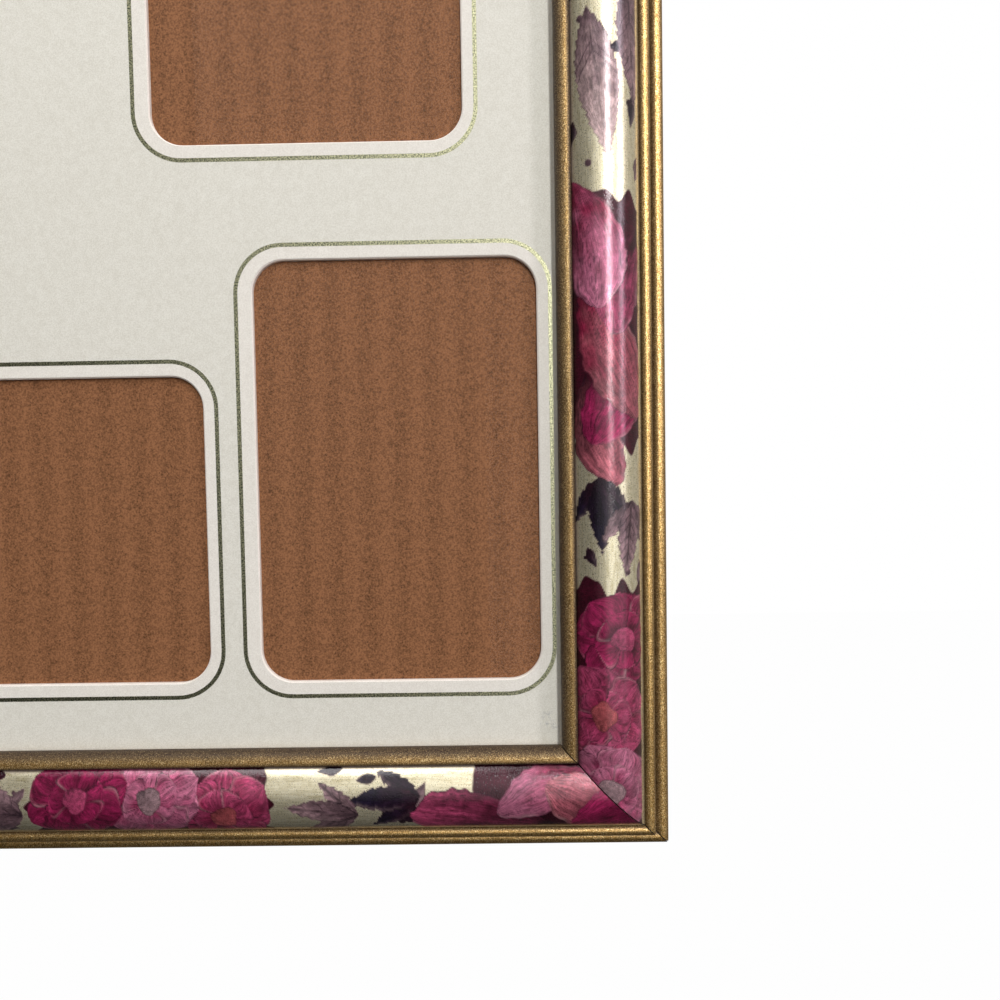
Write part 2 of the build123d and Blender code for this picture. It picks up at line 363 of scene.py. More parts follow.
@dataclass(frozen=True)
class MouldingSection:
    """Section of the moulding in millimetres, outward from the sight edge and forward from the back."""

    rabbet_wall: float = 7.15
    ledge: float = 11.2
    lip_foot: float = 0.7
    lip_radius: float = 3.2
    lip_drop: float = 0.9
    band_width: float = 17.6
    band_fall: float = 1.8
    band_rise: float = 4.75
    band_thickness: float = 0.35
    glue_line: float = 0.02
    width: float = 29.4
    upper_bead: tuple[float, float] = (23.5, 10.9)
    upper_radius: float = 1.5
    upper_start: float = 158.0
    upper_end: float = -10.0
    lower_bead: tuple[float, float] = (27.5, 5.8)
    lower_radius: float = 1.9
    lower_start: float = 150.0
    cove_depth: float = 0.55
    back_radius: float = 0.8
    corner_radius: float = 1.2
    joint: float = 0.22

    @property
    def valley(self) -> tuple[float, float]:
        """Returns the valley between the lip and the printed band."""
        return self.lip_radius + self.lip_drop, self.ledge + self.lip_foot + self.lip_radius - self.lip_drop

    @property
    def band_foot(self) -> tuple[float, float]:
        """Returns the point where the printed band meets the reeding."""
        return self.valley[0] + self.band_width, self.valley[1] - self.band_fall

    @property
    def band_radius(self) -> float:
        """Returns the radius of the printed band's face."""
        half = math.dist(self.valley, self.band_foot) / 2
        return (half**2 + self.band_rise**2) / (2 * self.band_rise)

    @property
    def band_centre(self) -> tuple[float, float]:
        """Works out the printed band's arc from its width, its fall and its rise.

        Returns:
            The arc's centre.
        """
        tilt = math.degrees(math.atan2(-self.band_fall, self.band_width))
        middle = ((self.valley[0] + self.band_foot[0]) / 2, (self.valley[1] + self.band_foot[1]) / 2)
        return on_circle(middle, self.band_radius - self.band_rise, tilt - 90)

    def angle(self, point: tuple[float, float]) -> float:
        """Returns the angle in degrees of a point as seen from the band's centre."""
        centre = self.band_centre
        return math.degrees(math.atan2(point[1] - centre[1], point[0] - centre[0]))

    @property
    def band_sweep(self) -> float:
        """Returns the angle that the printed band covers."""
        return self.angle(self.valley) - self.angle(self.band_foot)


SECTION = MouldingSection()


def new_finish(name: str) -> tuple[bpy.types.Material, bpy.types.NodeTree, bpy.types.Node]:
    """Starts a material.

    Args:
        name: The material's name.

    Returns:
        The material, its node tree and its shader.
    """
    mat = bpy.data.materials.new(name)
    mat.use_nodes = True
    return mat, mat.node_tree, mat.node_tree.nodes["Principled BSDF"]


def cells(size_mm: float) -> float:
    """Returns the texture scale that gives cells of a size in millimetres."""
    return 1 / (size_mm * MM)


def past_sight(tree: bpy.types.NodeTree, place: bpy.types.NodeSocket) -> list[bpy.types.Node]:
    """Measures how far each point lies past the sight edge.

    Args:
        tree: The material's node tree.
        place: The socket with the Object coordinates.

    Returns:
        The nodes with the distance sideways and the distance up or down.
    """
    axes = add(tree, "SeparateXYZ", {0: place})
    past = []
    for axis, sight in (("X", SIZES.sight_x), ("Z", SIZES.sight_z)):
        reach = add(tree, "Math", {0: axes.outputs[axis]}, operation="ABSOLUTE")
        past.append(add(tree, "Math", {0: reach, 1: sight * MM}, operation="SUBTRACT"))
    return past


@dataclass(frozen=True)
class BronzeGilding:
    """Bronze-powder gilding on wood: coarse gold grains under an umber wash in the hollows, which also serves
    as painted shade.
    """

    deep: str = "634a22"
    gold: str = "b0894c"
    bright: str = "efd5a0"
    umber_wash_and_shade: str = "2a1706"
    grain_mm: float = 0.27
    flake_mm: float = 0.2
    drift_mm: float = 9.0
    bump_mm: float = 0.05
    roughness: float = 0.36
    wash_roughness: float = 0.75
    crest_rub_and_highlight_gain: float = 0.25
    # How thick the wash lies, at places outward from the sight edge in millimetres: partly real wash in the
    # hollows, partly painted shade on the lip's inner side, its crest, the cove and the outer edge.
    wash_and_shade_stops: tuple[tuple[float, float], ...] = (
        (0.0, 0.95), (0.9, 0.85), (1.8, 0.58), (2.4, 0.3), (2.9, 0.22), (3.3, 0.55), (3.7, 0.9), (4.4, 1.0),
        (21.5, 0.85), (21.95, 0.8), (22.5, 0.6), (23.0, 0.12), (23.4, 0.0), (24.2, 0.1), (24.7, 0.5),
        (25.4, 0.7), (26.3, 0.7), (26.8, 0.35), (27.3, 0.0), (28.3, 0.1), (28.9, 0.45), (29.38, 0.56),
    )
    # Where the two beads' crests are rubbed bright, which is also a painted highlight.
    crest_rub_and_highlight_stops: tuple[tuple[float, float], ...] = (
        (22.7, 0.0), (23.3, 1.0), (24.2, 1.0), (24.7, 0.0),
        (26.9, 0.0), (27.5, 1.0), (28.4, 1.0), (28.9, 0.0),
    )

    def material(self) -> bpy.types.Material:
        """Builds the gilding.

        The grains give it the sandy glitter, and the wash, partly painted shade, keeps the grooves brown
        beside the lit beads, whose crests carry a painted highlight.
        Real bronze powder is finer than a pixel, so its grains are drawn coarser.

        Returns:
            The material.
        """
        mat, tree, shader = new_finish("bronze_gilding")
        place = add(tree, "TexCoord").outputs["Object"]
        sideways, upright = past_sight(tree, place)
        outward = add(tree, "Math", {0: sideways, 1: upright}, operation="MAXIMUM")
        share = add(tree, "Math", {0: outward, 1: cells(SECTION.width)}, operation="MULTIPLY")
        # Painted shade: the first ramp lays the umber partly as real wash and partly as painted shade.
        wash_and_shade, crest_rub_and_highlight = (
            add(tree, "ValToRGB", {0: share}, stops=[(s / SECTION.width, v) for s, v in stops])
            for stops in (self.wash_and_shade_stops, self.crest_rub_and_highlight_stops)
        )
        grains = {"Vector": place, "Scale": cells(self.grain_mm), "Detail": 2.0, "Roughness": 0.6}
        grain = add(tree, "TexNoise", grains)
        flake = add(tree, "TexVoronoi", {"Vector": place, "Scale": cells(self.flake_mm)})
        drift = add(tree, "TexNoise", {"Vector": place, "Scale": cells(self.drift_mm), "Detail": 2.0})
        powder = [(0.3, linear(self.deep)), (0.5, linear(self.gold)), (0.7, linear(self.bright))]
        gold = add(tree, "ValToRGB", {0: grain}, stops=powder)
        tone = add(tree, "MapRange", {0: drift, 1: 0.3, 2: 0.7, 3: 0.82, 4: 1.12})
        # Painted highlight: the tone rises on the beads' crests.
        tone = add(tree, "Math", {0: crest_rub_and_highlight, 1: self.crest_rub_and_highlight_gain, 2: tone}, operation="MULTIPLY_ADD")
        glint = add(tree, "MapRange", {0: flake.outputs["Color"], 1: 0.2, 2: 0.8, 3: 0.7, 4: 1.3})
        tone = add(tree, "Math", {0: tone, 1: glint}, operation="MULTIPLY")
        toned = add(tree, "Mix", {"Factor": 1.0, 6: gold, 7: tone}, data_type="RGBA", blend_type="MULTIPLY")
        # rubbed is the share of wash and painted shade that the grains leave showing.
        rubbed = add(tree, "Math", {0: grain, 1: 0.5}, operation="SUBTRACT")
        rubbed = add(tree, "Math", {0: wash_and_shade, 1: rubbed}, operation="SUBTRACT", use_clamp=True)
        layers = {"Factor": rubbed, 6: toned.outputs[2], 7: linear(self.umber_wash_and_shade)}
        colour = add(tree, "Mix", layers, data_type="RGBA")
        rough = {0: flake.outputs["Color"], 3: self.roughness - 0.08, 4: self.roughness + 0.12}
        rough = {"Factor": rubbed, 2: add(tree, "MapRange", rough), 3: self.wash_roughness}
        relief = add(tree, "Math", {0: grain, 1: flake}, operation="ADD")
        feed(shader, {
            "Base Color": colour.outputs[2],
            "Roughness": add(tree, "Mix", rough, data_type="FLOAT"),
            "Metallic": add(tree, "MapRange", {0: rubbed, 3: 0.95, 4: 0.1}),
            "Normal": add(tree, "Bump", {"Strength": 0.55, "Distance": self.bump_mm * MM, "Height": relief}),
            "Coat Weight": 0.12,
            "Coat Roughness": 0.3,
        })
        return mat


@dataclass(frozen=True)
class BareWood:
    """Sawn softwood at the back of the rails: pale, matt, with long grain and fine pores."""

    name: str = "bare_softwood"
    pale: str = "c9a877"
    dark: str = "a37f50"
    ring_mm: float = 3.4
    pore_mm: float = 0.5
    bump_mm: float = 0.06
    stretch: float = 0.06

    def material(self) -> bpy.types.Material:
        """Builds the wood, whose long pale and dark rings run along both pairs of rails.

        Returns:
            The material.
        """
        mat, tree, shader = new_finish(self.name)
        place = add(tree, "TexCoord").outputs["Object"]
        sideways, upright = past_sight(tree, place)
        standing = add(tree, "Math", {0: sideways, 1: upright}, operation="GREATER_THAN")
        lying = add(tree, "Mapping", {"Vector": place, "Scale": (self.stretch, 1.0, 1.0)})
        raised = add(tree, "Mapping", {"Vector": place, "Scale": (1.0, 1.0, self.stretch)})
        run = add(tree, "Mix", {"Factor": standing, 4: lying, 5: raised}, data_type="VECTOR").outputs[1]
        rings = add(tree, "TexNoise", {"Vector": run, "Scale": cells(self.ring_mm), "Detail": 4.0})
        pores = add(tree, "TexNoise", {"Vector": run, "Scale": cells(self.pore_mm), "Detail": 2.0})
        blend = add(tree, "Mix", {"Factor": 0.35, 2: rings, 3: pores}, data_type="FLOAT")
        tones = [(0.35, linear(self.dark)), (0.62, linear(self.pale))]
        feed(shader, {
            "Base Color": add(tree, "ValToRGB", {0: blend}, stops=tones),
            "Roughness": add(tree, "MapRange", {0: pores, 3: 0.62, 4: 0.85}),
            "Normal": add(tree, "Bump", {"Strength": 0.4, "Distance": self.bump_mm * MM, "Height": pores}),
        })
        return mat


@dataclass(frozen=True)
class FoilPrint:
    """Floral ink printed over champagne foil under a clear gloss film."""

    foil: str = "e3dabd"
    foil_shade: str = "bdb18c"
    crackle_mm: float = 0.9
    fleck_mm: float = 0.3
    hair_mm: float = 0.3
    bump_mm: float = 0.02
    film_bump_mm: float = 0.065

    def material(self) -> bpy.types.Material:
        """Builds the print from the bands' ink, cover and stroke attributes.

        Bare foil mirrors softly, ink lets some of it through, and the film gives the sharp window line.
        The foil's flecks and the brush hairs are drawn coarser than real ones so that they still show.

        Returns:
            The material.
        """
        mat, tree, shader = new_finish("floral_foil_print")
        place = add(tree, "TexCoord").outputs["Object"]
        inked = add(tree, "Attribute", attribute_name="print_ink").outputs["Color"]
        cover = add(tree, "Attribute", attribute_name="print_cover").outputs["Fac"]
        stroke = add(tree, "Attribute", attribute_name="print_stroke").outputs["Vector"]
        # The stroke attribute counts in millimetres.
        bristles = {"Vector": stroke, "Scale": 1 / self.hair_mm, "Detail": 3.0, "Roughness": 0.6}
        hairs = add(tree, "TexNoise", bristles)
        crackle = {"Vector": place, "Scale": cells(self.crackle_mm), "Detail": 4.0, "Roughness": 0.7}
        mottle = add(tree, "TexNoise", crackle)
        fleck = add(tree, "TexNoise", {"Vector": place, "Scale": cells(self.fleck_mm), "Detail": 1.0})
        brushed = add(tree, "MapRange", {0: hairs, 1: 0.25, 2: 0.75, 3: 0.5, 4: 1.5})
        clouded = add(tree, "MapRange", {0: mottle, 1: 0.3, 2: 0.7, 3: 0.8, 4: 1.2})
        tone = add(tree, "Math", {0: brushed, 1: clouded}, operation="MULTIPLY")
        tinted = add(tree, "Mix", {"Factor": 1.0, 6: inked, 7: tone}, data_type="RGBA", blend_type="MULTIPLY")
        sheen = add(tree, "Mix", {"Factor": 0.4, 2: hairs, 3: mottle}, data_type="FLOAT")
        tones = [(0.38, linear(self.foil_shade)), (0.58, linear(self.foil))]
        foil = add(tree, "ValToRGB", {0: sheen}, stops=tones)
        colour = add(tree, "Mix", {"Factor": cover, 6: foil, 7: tinted.outputs[2]}, data_type="RGBA")
        film = {"Strength": 0.7, "Distance": self.film_bump_mm * MM, "Height": fleck}
        feed(shader, {
            "Base Color": colour.outputs[2],
            "Metallic": add(tree, "MapRange", {0: cover, 3: 0.72, 4: 0.25}),
            "Roughness": add(tree, "MapRange", {0: fleck, 3: 0.2, 4: 0.4}),
            "Normal": add(tree, "Bump", {"Strength": 0.3, "Distance": self.bump_mm * MM, "Height": fleck}),
            "Coat Normal": add(tree, "Bump", film),
            "Specular IOR Level": 0.1,
            "Coat Weight": 1.0,
            "Coat Roughness": 0.055,
            "Coat IOR": 1.5,
        })
        return mat


@dataclass(frozen=True)
class MatPaper:
    """Cream mat paper: matt and faintly mottled, with fine fibres and one rubbed spot by the lower corner."""

    name: str = "cream_mat_paper"
    paper: str = "e3e0d5"
    shade: str = "d5d1c4"
    mottle_mm: float = 2.2
    fibre_mm: float = 0.38
    bump_mm: float = 0.03
    rub: str = "8f8f94"
    rub_place: tuple[float, float, float] = (130.4, -9.2, -165.7)
    rub_reach: float = 3.6
    rub_mm: float = 1.1

    def material(self) -> bpy.types.Material:
        """Builds the paper, with fibres drawn coarser than real ones so that they still show.

        Returns:
            The material.
        """
        mat, tree, shader = new_finish(self.name)
        place = add(tree, "TexCoord").outputs["Object"]
        mottle = add(tree, "TexNoise", {"Vector": place, "Scale": cells(self.mottle_mm), "Detail": 3.0})
        fibre = add(tree, "TexNoise", {"Vector": place, "Scale": cells(self.fibre_mm), "Detail": 2.0})
        blend = add(tree, "Mix", {"Factor": 0.72, 2: mottle, 3: fibre}, data_type="FLOAT")
        tones = [(0.38, linear(self.shade)), (0.62, linear(self.paper))]
        clean = add(tree, "ValToRGB", {0: blend}, stops=tones)
        spot = tuple(v * MM for v in self.rub_place)
        far = add(tree, "VectorMath", {0: place, 1: spot}, operation="DISTANCE").outputs["Value"]
        reach = self.rub_reach * MM
        near = add(tree, "MapRange", {0: far, 1: 0.3 * reach, 2: reach, 3: 1.0, 4: 0.0})
        streaks = {"Vector": place, "Scale": cells(self.rub_mm), "Detail": 4.0, "Roughness": 0.8}
        worn = add(tree, "TexNoise", streaks)
        worn = add(tree, "MapRange", {0: worn, 1: 0.52, 2: 0.66, 3: 0.0, 4: 0.75})
        rubbed = add(tree, "Math", {0: near, 1: worn}, operation="MULTIPLY")
        colour = add(tree, "Mix", {"Factor": rubbed, 6: clean, 7: linear(self.rub)}, data_type="RGBA")
        feed(shader, {
            "Base Color": colour.outputs[2],
            "Roughness": add(tree, "MapRange", {0: fibre, 3: 0.8, 4: 0.95}),
            "Normal": add(tree, "Bump", {"Strength": 0.3, "Distance": self.bump_mm * MM, "Height": fibre}),
            "Specular IOR Level": 0.2,
        })
        return mat


@dataclass(frozen=True)
class StampedFoil:
    """Hot-stamped champagne foil: a thin metallic line, speckled bright and dull, whose dull dark tone is
    painted dark reflection.
    """

    bright: str = "cdcaa4"
    dull_painted_reflection: str = "4a4f40"
    speck_mm: float = 0.4
    bump_mm: float = 0.03

    def material(self) -> bpy.types.Material:
        """Builds the foil line, bright here and there and dull and dark between, the dark being a painted
        reflection.

        Its specks are drawn coarser than real ones so that they still show.

        Returns:
            The material.
        """
        mat, tree, shader = new_finish("stamped_foil")
        place = add(tree, "TexCoord").outputs["Object"]
        speck_pattern = {"Vector": place, "Scale": cells(self.speck_mm), "Detail": 3.0, "Roughness": 0.7}
        speck = add(tree, "TexNoise", speck_pattern)
        # Painted reflection: the dull dark tone stands in for the dark surroundings that the foil mirrors.
        tones = [(0.4, linear(self.dull_painted_reflection)), (0.62, linear(self.bright))]
        feed(shader, {
            "Base Color": add(tree, "ValToRGB", {0: speck}, stops=tones),
            "Roughness": add(tree, "MapRange", {0: speck, 3: 0.45, 4: 0.22}),
            "Metallic": 1.0,
            "Normal": add(tree, "Bump", {"Strength": 0.5, "Distance": self.bump_mm * MM, "Height": speck}),
        })
        return mat


@dataclass(frozen=True)
class KraftBoard:
    """Brown kraft liner of corrugated board: cloudy, with fibres, flecks and the flutes' print-through, drawn
    as bumps with painted shade stripes.
    """

    kraft: str = "956543"
    shade: str = "53331b"
    fleck: str = "3f2417"
    flute_mm: float = 8.82
    cloud_mm: float = 1.6
    fibre_mm: float = 0.42
    fleck_mm: float = 0.8
    wave_bump_mm: float = 0.12
    bump_mm: float = 0.04

    def material(self) -> bpy.types.Material:
        """Builds the kraft paper, with fibres drawn coarser than real ones so that they still show.

        Returns:
            The material.
        """
        mat, tree, shader = new_finish("kraft_liner")
        place = add(tree, "TexCoord").outputs["Object"]
        clouds = {"Vector": place, "Scale": cells(self.cloud_mm), "Detail": 4.0, "Roughness": 0.65}
        cloud = add(tree, "TexNoise", clouds)
        fibre = add(tree, "TexNoise", {"Vector": place, "Scale": cells(self.fibre_mm), "Detail": 1.0})
        flecks = add(tree, "TexNoise", {"Vector": place, "Scale": cells(self.fleck_mm), "Detail": 1.0})
        # A wave texture's period is two pi over twenty of its scale.
        pitch = 2 * math.pi / (20 * self.flute_mm * MM)
        waved = {"Vector": place, "Scale": pitch, "Distortion": 0.12, "Phase Offset": -2.14}
        flutes = add(tree, "TexWave", waved, bands_direction="X").outputs["Fac"]
        blend = add(tree, "Mix", {"Factor": 0.72, 2: cloud, 3: fibre}, data_type="FLOAT")
        # Painted shade: the flutes' ripples lighten and darken the colour in stripes, beside the bump that
        # draws them.
        streak = add(tree, "MapRange", {0: flutes, 3: -0.03, 4: 0.03})
        blend = add(tree, "Math", {0: blend, 1: streak}, operation="ADD")
        tones = [(0.26, linear(self.shade)), (0.62, linear(self.kraft))]
        clean = add(tree, "ValToRGB", {0: blend}, stops=tones)
        dark = add(tree, "MapRange", {0: flecks, 1: 0.7, 2: 0.78, 3: 0.0, 4: 0.7})
        colour = add(tree, "Mix", {"Factor": dark, 6: clean, 7: linear(self.fleck)}, data_type="RGBA")
        wave = add(tree, "Bump", {"Strength": 0.5, "Distance": self.wave_bump_mm * MM, "Height": flutes})
        grain = {"Strength": 0.4, "Distance": self.bump_mm * MM, "Height": fibre, "Normal": wave}
        feed(shader, {
            "Base Color": colour.outputs[2],
            "Roughness": add(tree, "MapRange", {0: fibre, 3: 0.75, 4: 0.92}),
            "Normal": add(tree, "Bump", grain),
            "Specular IOR Level": 0.25,
        })
        return mat


@dataclass(frozen=True)
class PictureGlass:
    """Thin float glass: clear, with a faint reflection that grows towards grazing."""

    tint: str = "ffffff"
    # Float glass has 1.52. The photograph shows next to no reflection, so the pane's is turned down.
    ior: float = 1.2

    def material(self) -> bpy.types.Material:
        """Builds the glass, whose front face alone reflects so that light reaches the mat.

        Returns:
            The material.
        """
        mat, tree, shader = new_finish("picture_glass")
        tree.nodes.remove(shader)
        clear = add(tree, "BsdfTransparent", {"Color": linear(self.tint)})
        mirror = add(tree, "BsdfGlossy", {"Roughness": 0.02})
        edge = add(tree, "Fresnel", {"IOR": self.ior})
        inside = add(tree, "NewGeometry").outputs["Backfacing"]
        outside = add(tree, "Math", {0: 1.0, 1: inside}, operation="SUBTRACT")
        share = add(tree, "Math", {0: edge, 1: outside}, operation="MULTIPLY")
        mix = add(tree, "MixShader", {0: share, 1: clear, 2: mirror})
        feed(tree.nodes["Material Output"], {"Surface": mix})
        return mat


@dataclass(frozen=True)
class Hardboard:
    """Tempered hardboard: dark brown pressed fibre, smooth with pale hairs."""

    dark: str = "4c3322"
    pale: str = "7a5839"
    fibre_mm: float = 0.7
    cloud_mm: float = 14.0
    bump_mm: float = 0.03

    def material(self) -> bpy.types.Material:
        """Builds the hardboard, whose pressed face has a low even sheen.

        Its fibres are drawn coarser than real ones so that they still show.

        Returns:
            The material.
        """
        mat, tree, shader = new_finish("tempered_hardboard")
        place = add(tree, "TexCoord").outputs["Object"]
        matted = {"Vector": place, "Scale": cells(self.fibre_mm), "Detail": 4.0, "Distortion": 1.5}
        fibre = add(tree, "TexNoise", matted)
        cloud = add(tree, "TexNoise", {"Vector": place, "Scale": cells(self.cloud_mm), "Detail": 2.0})
        blend = add(tree, "Mix", {"Factor": 0.18, 2: fibre, 3: cloud}, data_type="FLOAT")
        tones = [(0.36, linear(self.dark)), (0.66, linear(self.pale))]
        feed(shader, {
            "Base Color": add(tree, "ValToRGB", {0: blend}, stops=tones),
            "Roughness": add(tree, "MapRange", {0: fibre, 3: 0.42, 4: 0.62}),
            "Normal": add(tree, "Bump", {"Strength": 0.35, "Distance": self.bump_mm * MM, "Height": fibre}),
        })
        return mat


@dataclass(frozen=True)
class PlatedSteel:
    """Stamped or turned steel with a thin plating: fine rolling lines and a cloudy sheen."""

    name: str
    light: str
    dark: str
    roughness: float
    line_mm: float = 0.25
    cloud_mm: float = 2.5
    bump_mm: float = 0.01

    def material(self) -> bpy.types.Material:
        """Builds the plated metal, with rolling lines drawn coarser than real ones so that they still show.

        Returns:
            The material.
        """
        mat, tree, shader = new_finish(self.name)
        place = add(tree, "TexCoord").outputs["Object"]
        rolled = add(tree, "Mapping", {"Vector": place, "Scale": (0.08, 1.0, 1.0)})
        lines = add(tree, "TexNoise", {"Vector": rolled, "Scale": cells(self.line_mm), "Detail": 2.0})
        cloud = add(tree, "TexNoise", {"Vector": place, "Scale": cells(self.cloud_mm), "Detail": 3.0})
        tones = [(0.2, linear(self.dark)), (0.7, linear(self.light))]
        feed(shader, {
            "Base Color": add(tree, "ValToRGB", {0: cloud}, stops=tones),
            "Roughness": add(tree, "MapRange", {0: lines, 3: self.roughness - 0.07, 4: self.roughness + 0.1}),
            "Metallic": 1.0,
            "Normal": add(tree, "Bump", {"Strength": 0.3, "Distance": self.bump_mm * MM, "Height": lines}),
        })
        return mat


def lattice_noise(x: np.ndarray, y: np.ndarray, seed: int) -> np.ndarray:
    """Returns smooth seeded noise from 0 to 1 with one cell per unit.

    Args:
        x: First coordinates.
        y: Second coordinates.
        seed: Picks the pattern.

    Returns:
        The noise at each point.
    """
    left, low = np.floor(x).astype(np.int64), np.floor(y).astype(np.int64)
    fx, fy = x - left, y - low
    fx, fy = fx * fx * (3 - 2 * fx), fy * fy * (3 - 2 * fy)

    def corner(i: np.ndarray, j: np.ndarray) -> np.ndarray:
        """Scrambles a cell corner's place into its fixed random value.

        Args:
            i: The corner's column.
            j: The corner's row.

        Returns:
            The values, from 0 to 1.
        """
        mixed = (i * CELL_MIX[0] + j * CELL_MIX[1] + seed * CELL_MIX[2]) & 0xFFFFFFFF
        mixed = ((mixed ^ (mixed >> 13)) * BIT_MIX) & 0xFFFFFFFF
        return ((mixed ^ (mixed >> 16)) & 0xFFFF) / 65535.0

    bottom = corner(left, low) * (1 - fx) + corner(left + 1, low) * fx
    top = corner(left, low + 1) * (1 - fx) + corner(left + 1, low + 1) * fx
    return bottom * (1 - fy) + top * fy


def ease(low: float, high: float, x: np.ndarray) -> np.ndarray:
    """Returns a smooth step from 0 at low to 1 at high."""
    t = np.clip((x - low) / (high - low), 0, 1)
    return t * t * (3 - 2 * t)


@dataclass
class PrintCanvas:
    """A band's painted points: ink colour, how much ink covers the foil, and stroke direction."""

    along: np.ndarray
    across: np.ndarray

    def __post_init__(self) -> None:
        """Starts with bare foil."""
        count = len(self.along)
        self.ink = np.tile(ink("8a6a70"), (count, 1))
        self.cover = np.zeros(count)
        self.stroke = np.stack([self.along * 0.05, self.across * 0.8, np.zeros(count)], axis=1)

    def lay(
        self, where: np.ndarray, share: np.ndarray, colour: np.ndarray, stroke: np.ndarray, cover: float
    ) -> None:
        """Lays ink over what is already there.

        Args:
            where: Numbers of the points touched.
            share: How much of the new ink each of them gets.
            colour: The ink's colour there.
            stroke: The stroke coordinates there.
            cover: How much of the foil the ink hides.
        """
        kept = (1 - share)[:, None]
        self.ink[where] = self.ink[where] * kept + colour * share[:, None]
        self.cover[where] = self.cover[where] * (1 - share) + cover * share
        turned = share > 0.5
        self.stroke[where[turned]] = stroke[turned]


class Outline(Enum):
    """The outline of a painted leaf or petal, as the powers that shape it, its teeth and its raggedness."""

    LANCE = (0.85, 1.15, 0.0, 0.5)
    TOOTHED = (0.8, 1.0, 0.6, 0.4)
    ROUND = (1.35, 0.55, 0.0, 1.0)
    SPOON = (1.7, 0.75, 0.0, 1.3)


@dataclass(frozen=True)
class Shade:
    """Dark ink across the whole band, which shows as the gaps in a bunch of petals."""

    start: float
    end: float
    colour: str
    seed: int = 1

    def paint(self, canvas: PrintCanvas) -> None:
        """Paints the shade with wavy ends.

        Args:
            canvas: The band's painted state.
        """
        where = np.nonzero((canvas.along > self.start - 4) & (canvas.along < self.end + 4))[0]
        along, across = canvas.along[where], canvas.across[where]
        inside = np.minimum(along - self.start, self.end - along)
        inside = inside + 7 * (lattice_noise(across / 3.2, along * 0 + self.seed, self.seed) - 0.5)
        cloud = lattice_noise(along / 2.4, across / 2.4, self.seed + 2)
        flow = np.stack([across * 0.3, along, np.full(len(where), float(self.seed))], axis=1)
        canvas.lay(where, ease(0, 0.5, inside), ink(self.colour) * (0.6 + 0.8 * cloud)[:, None], flow, 1.0)


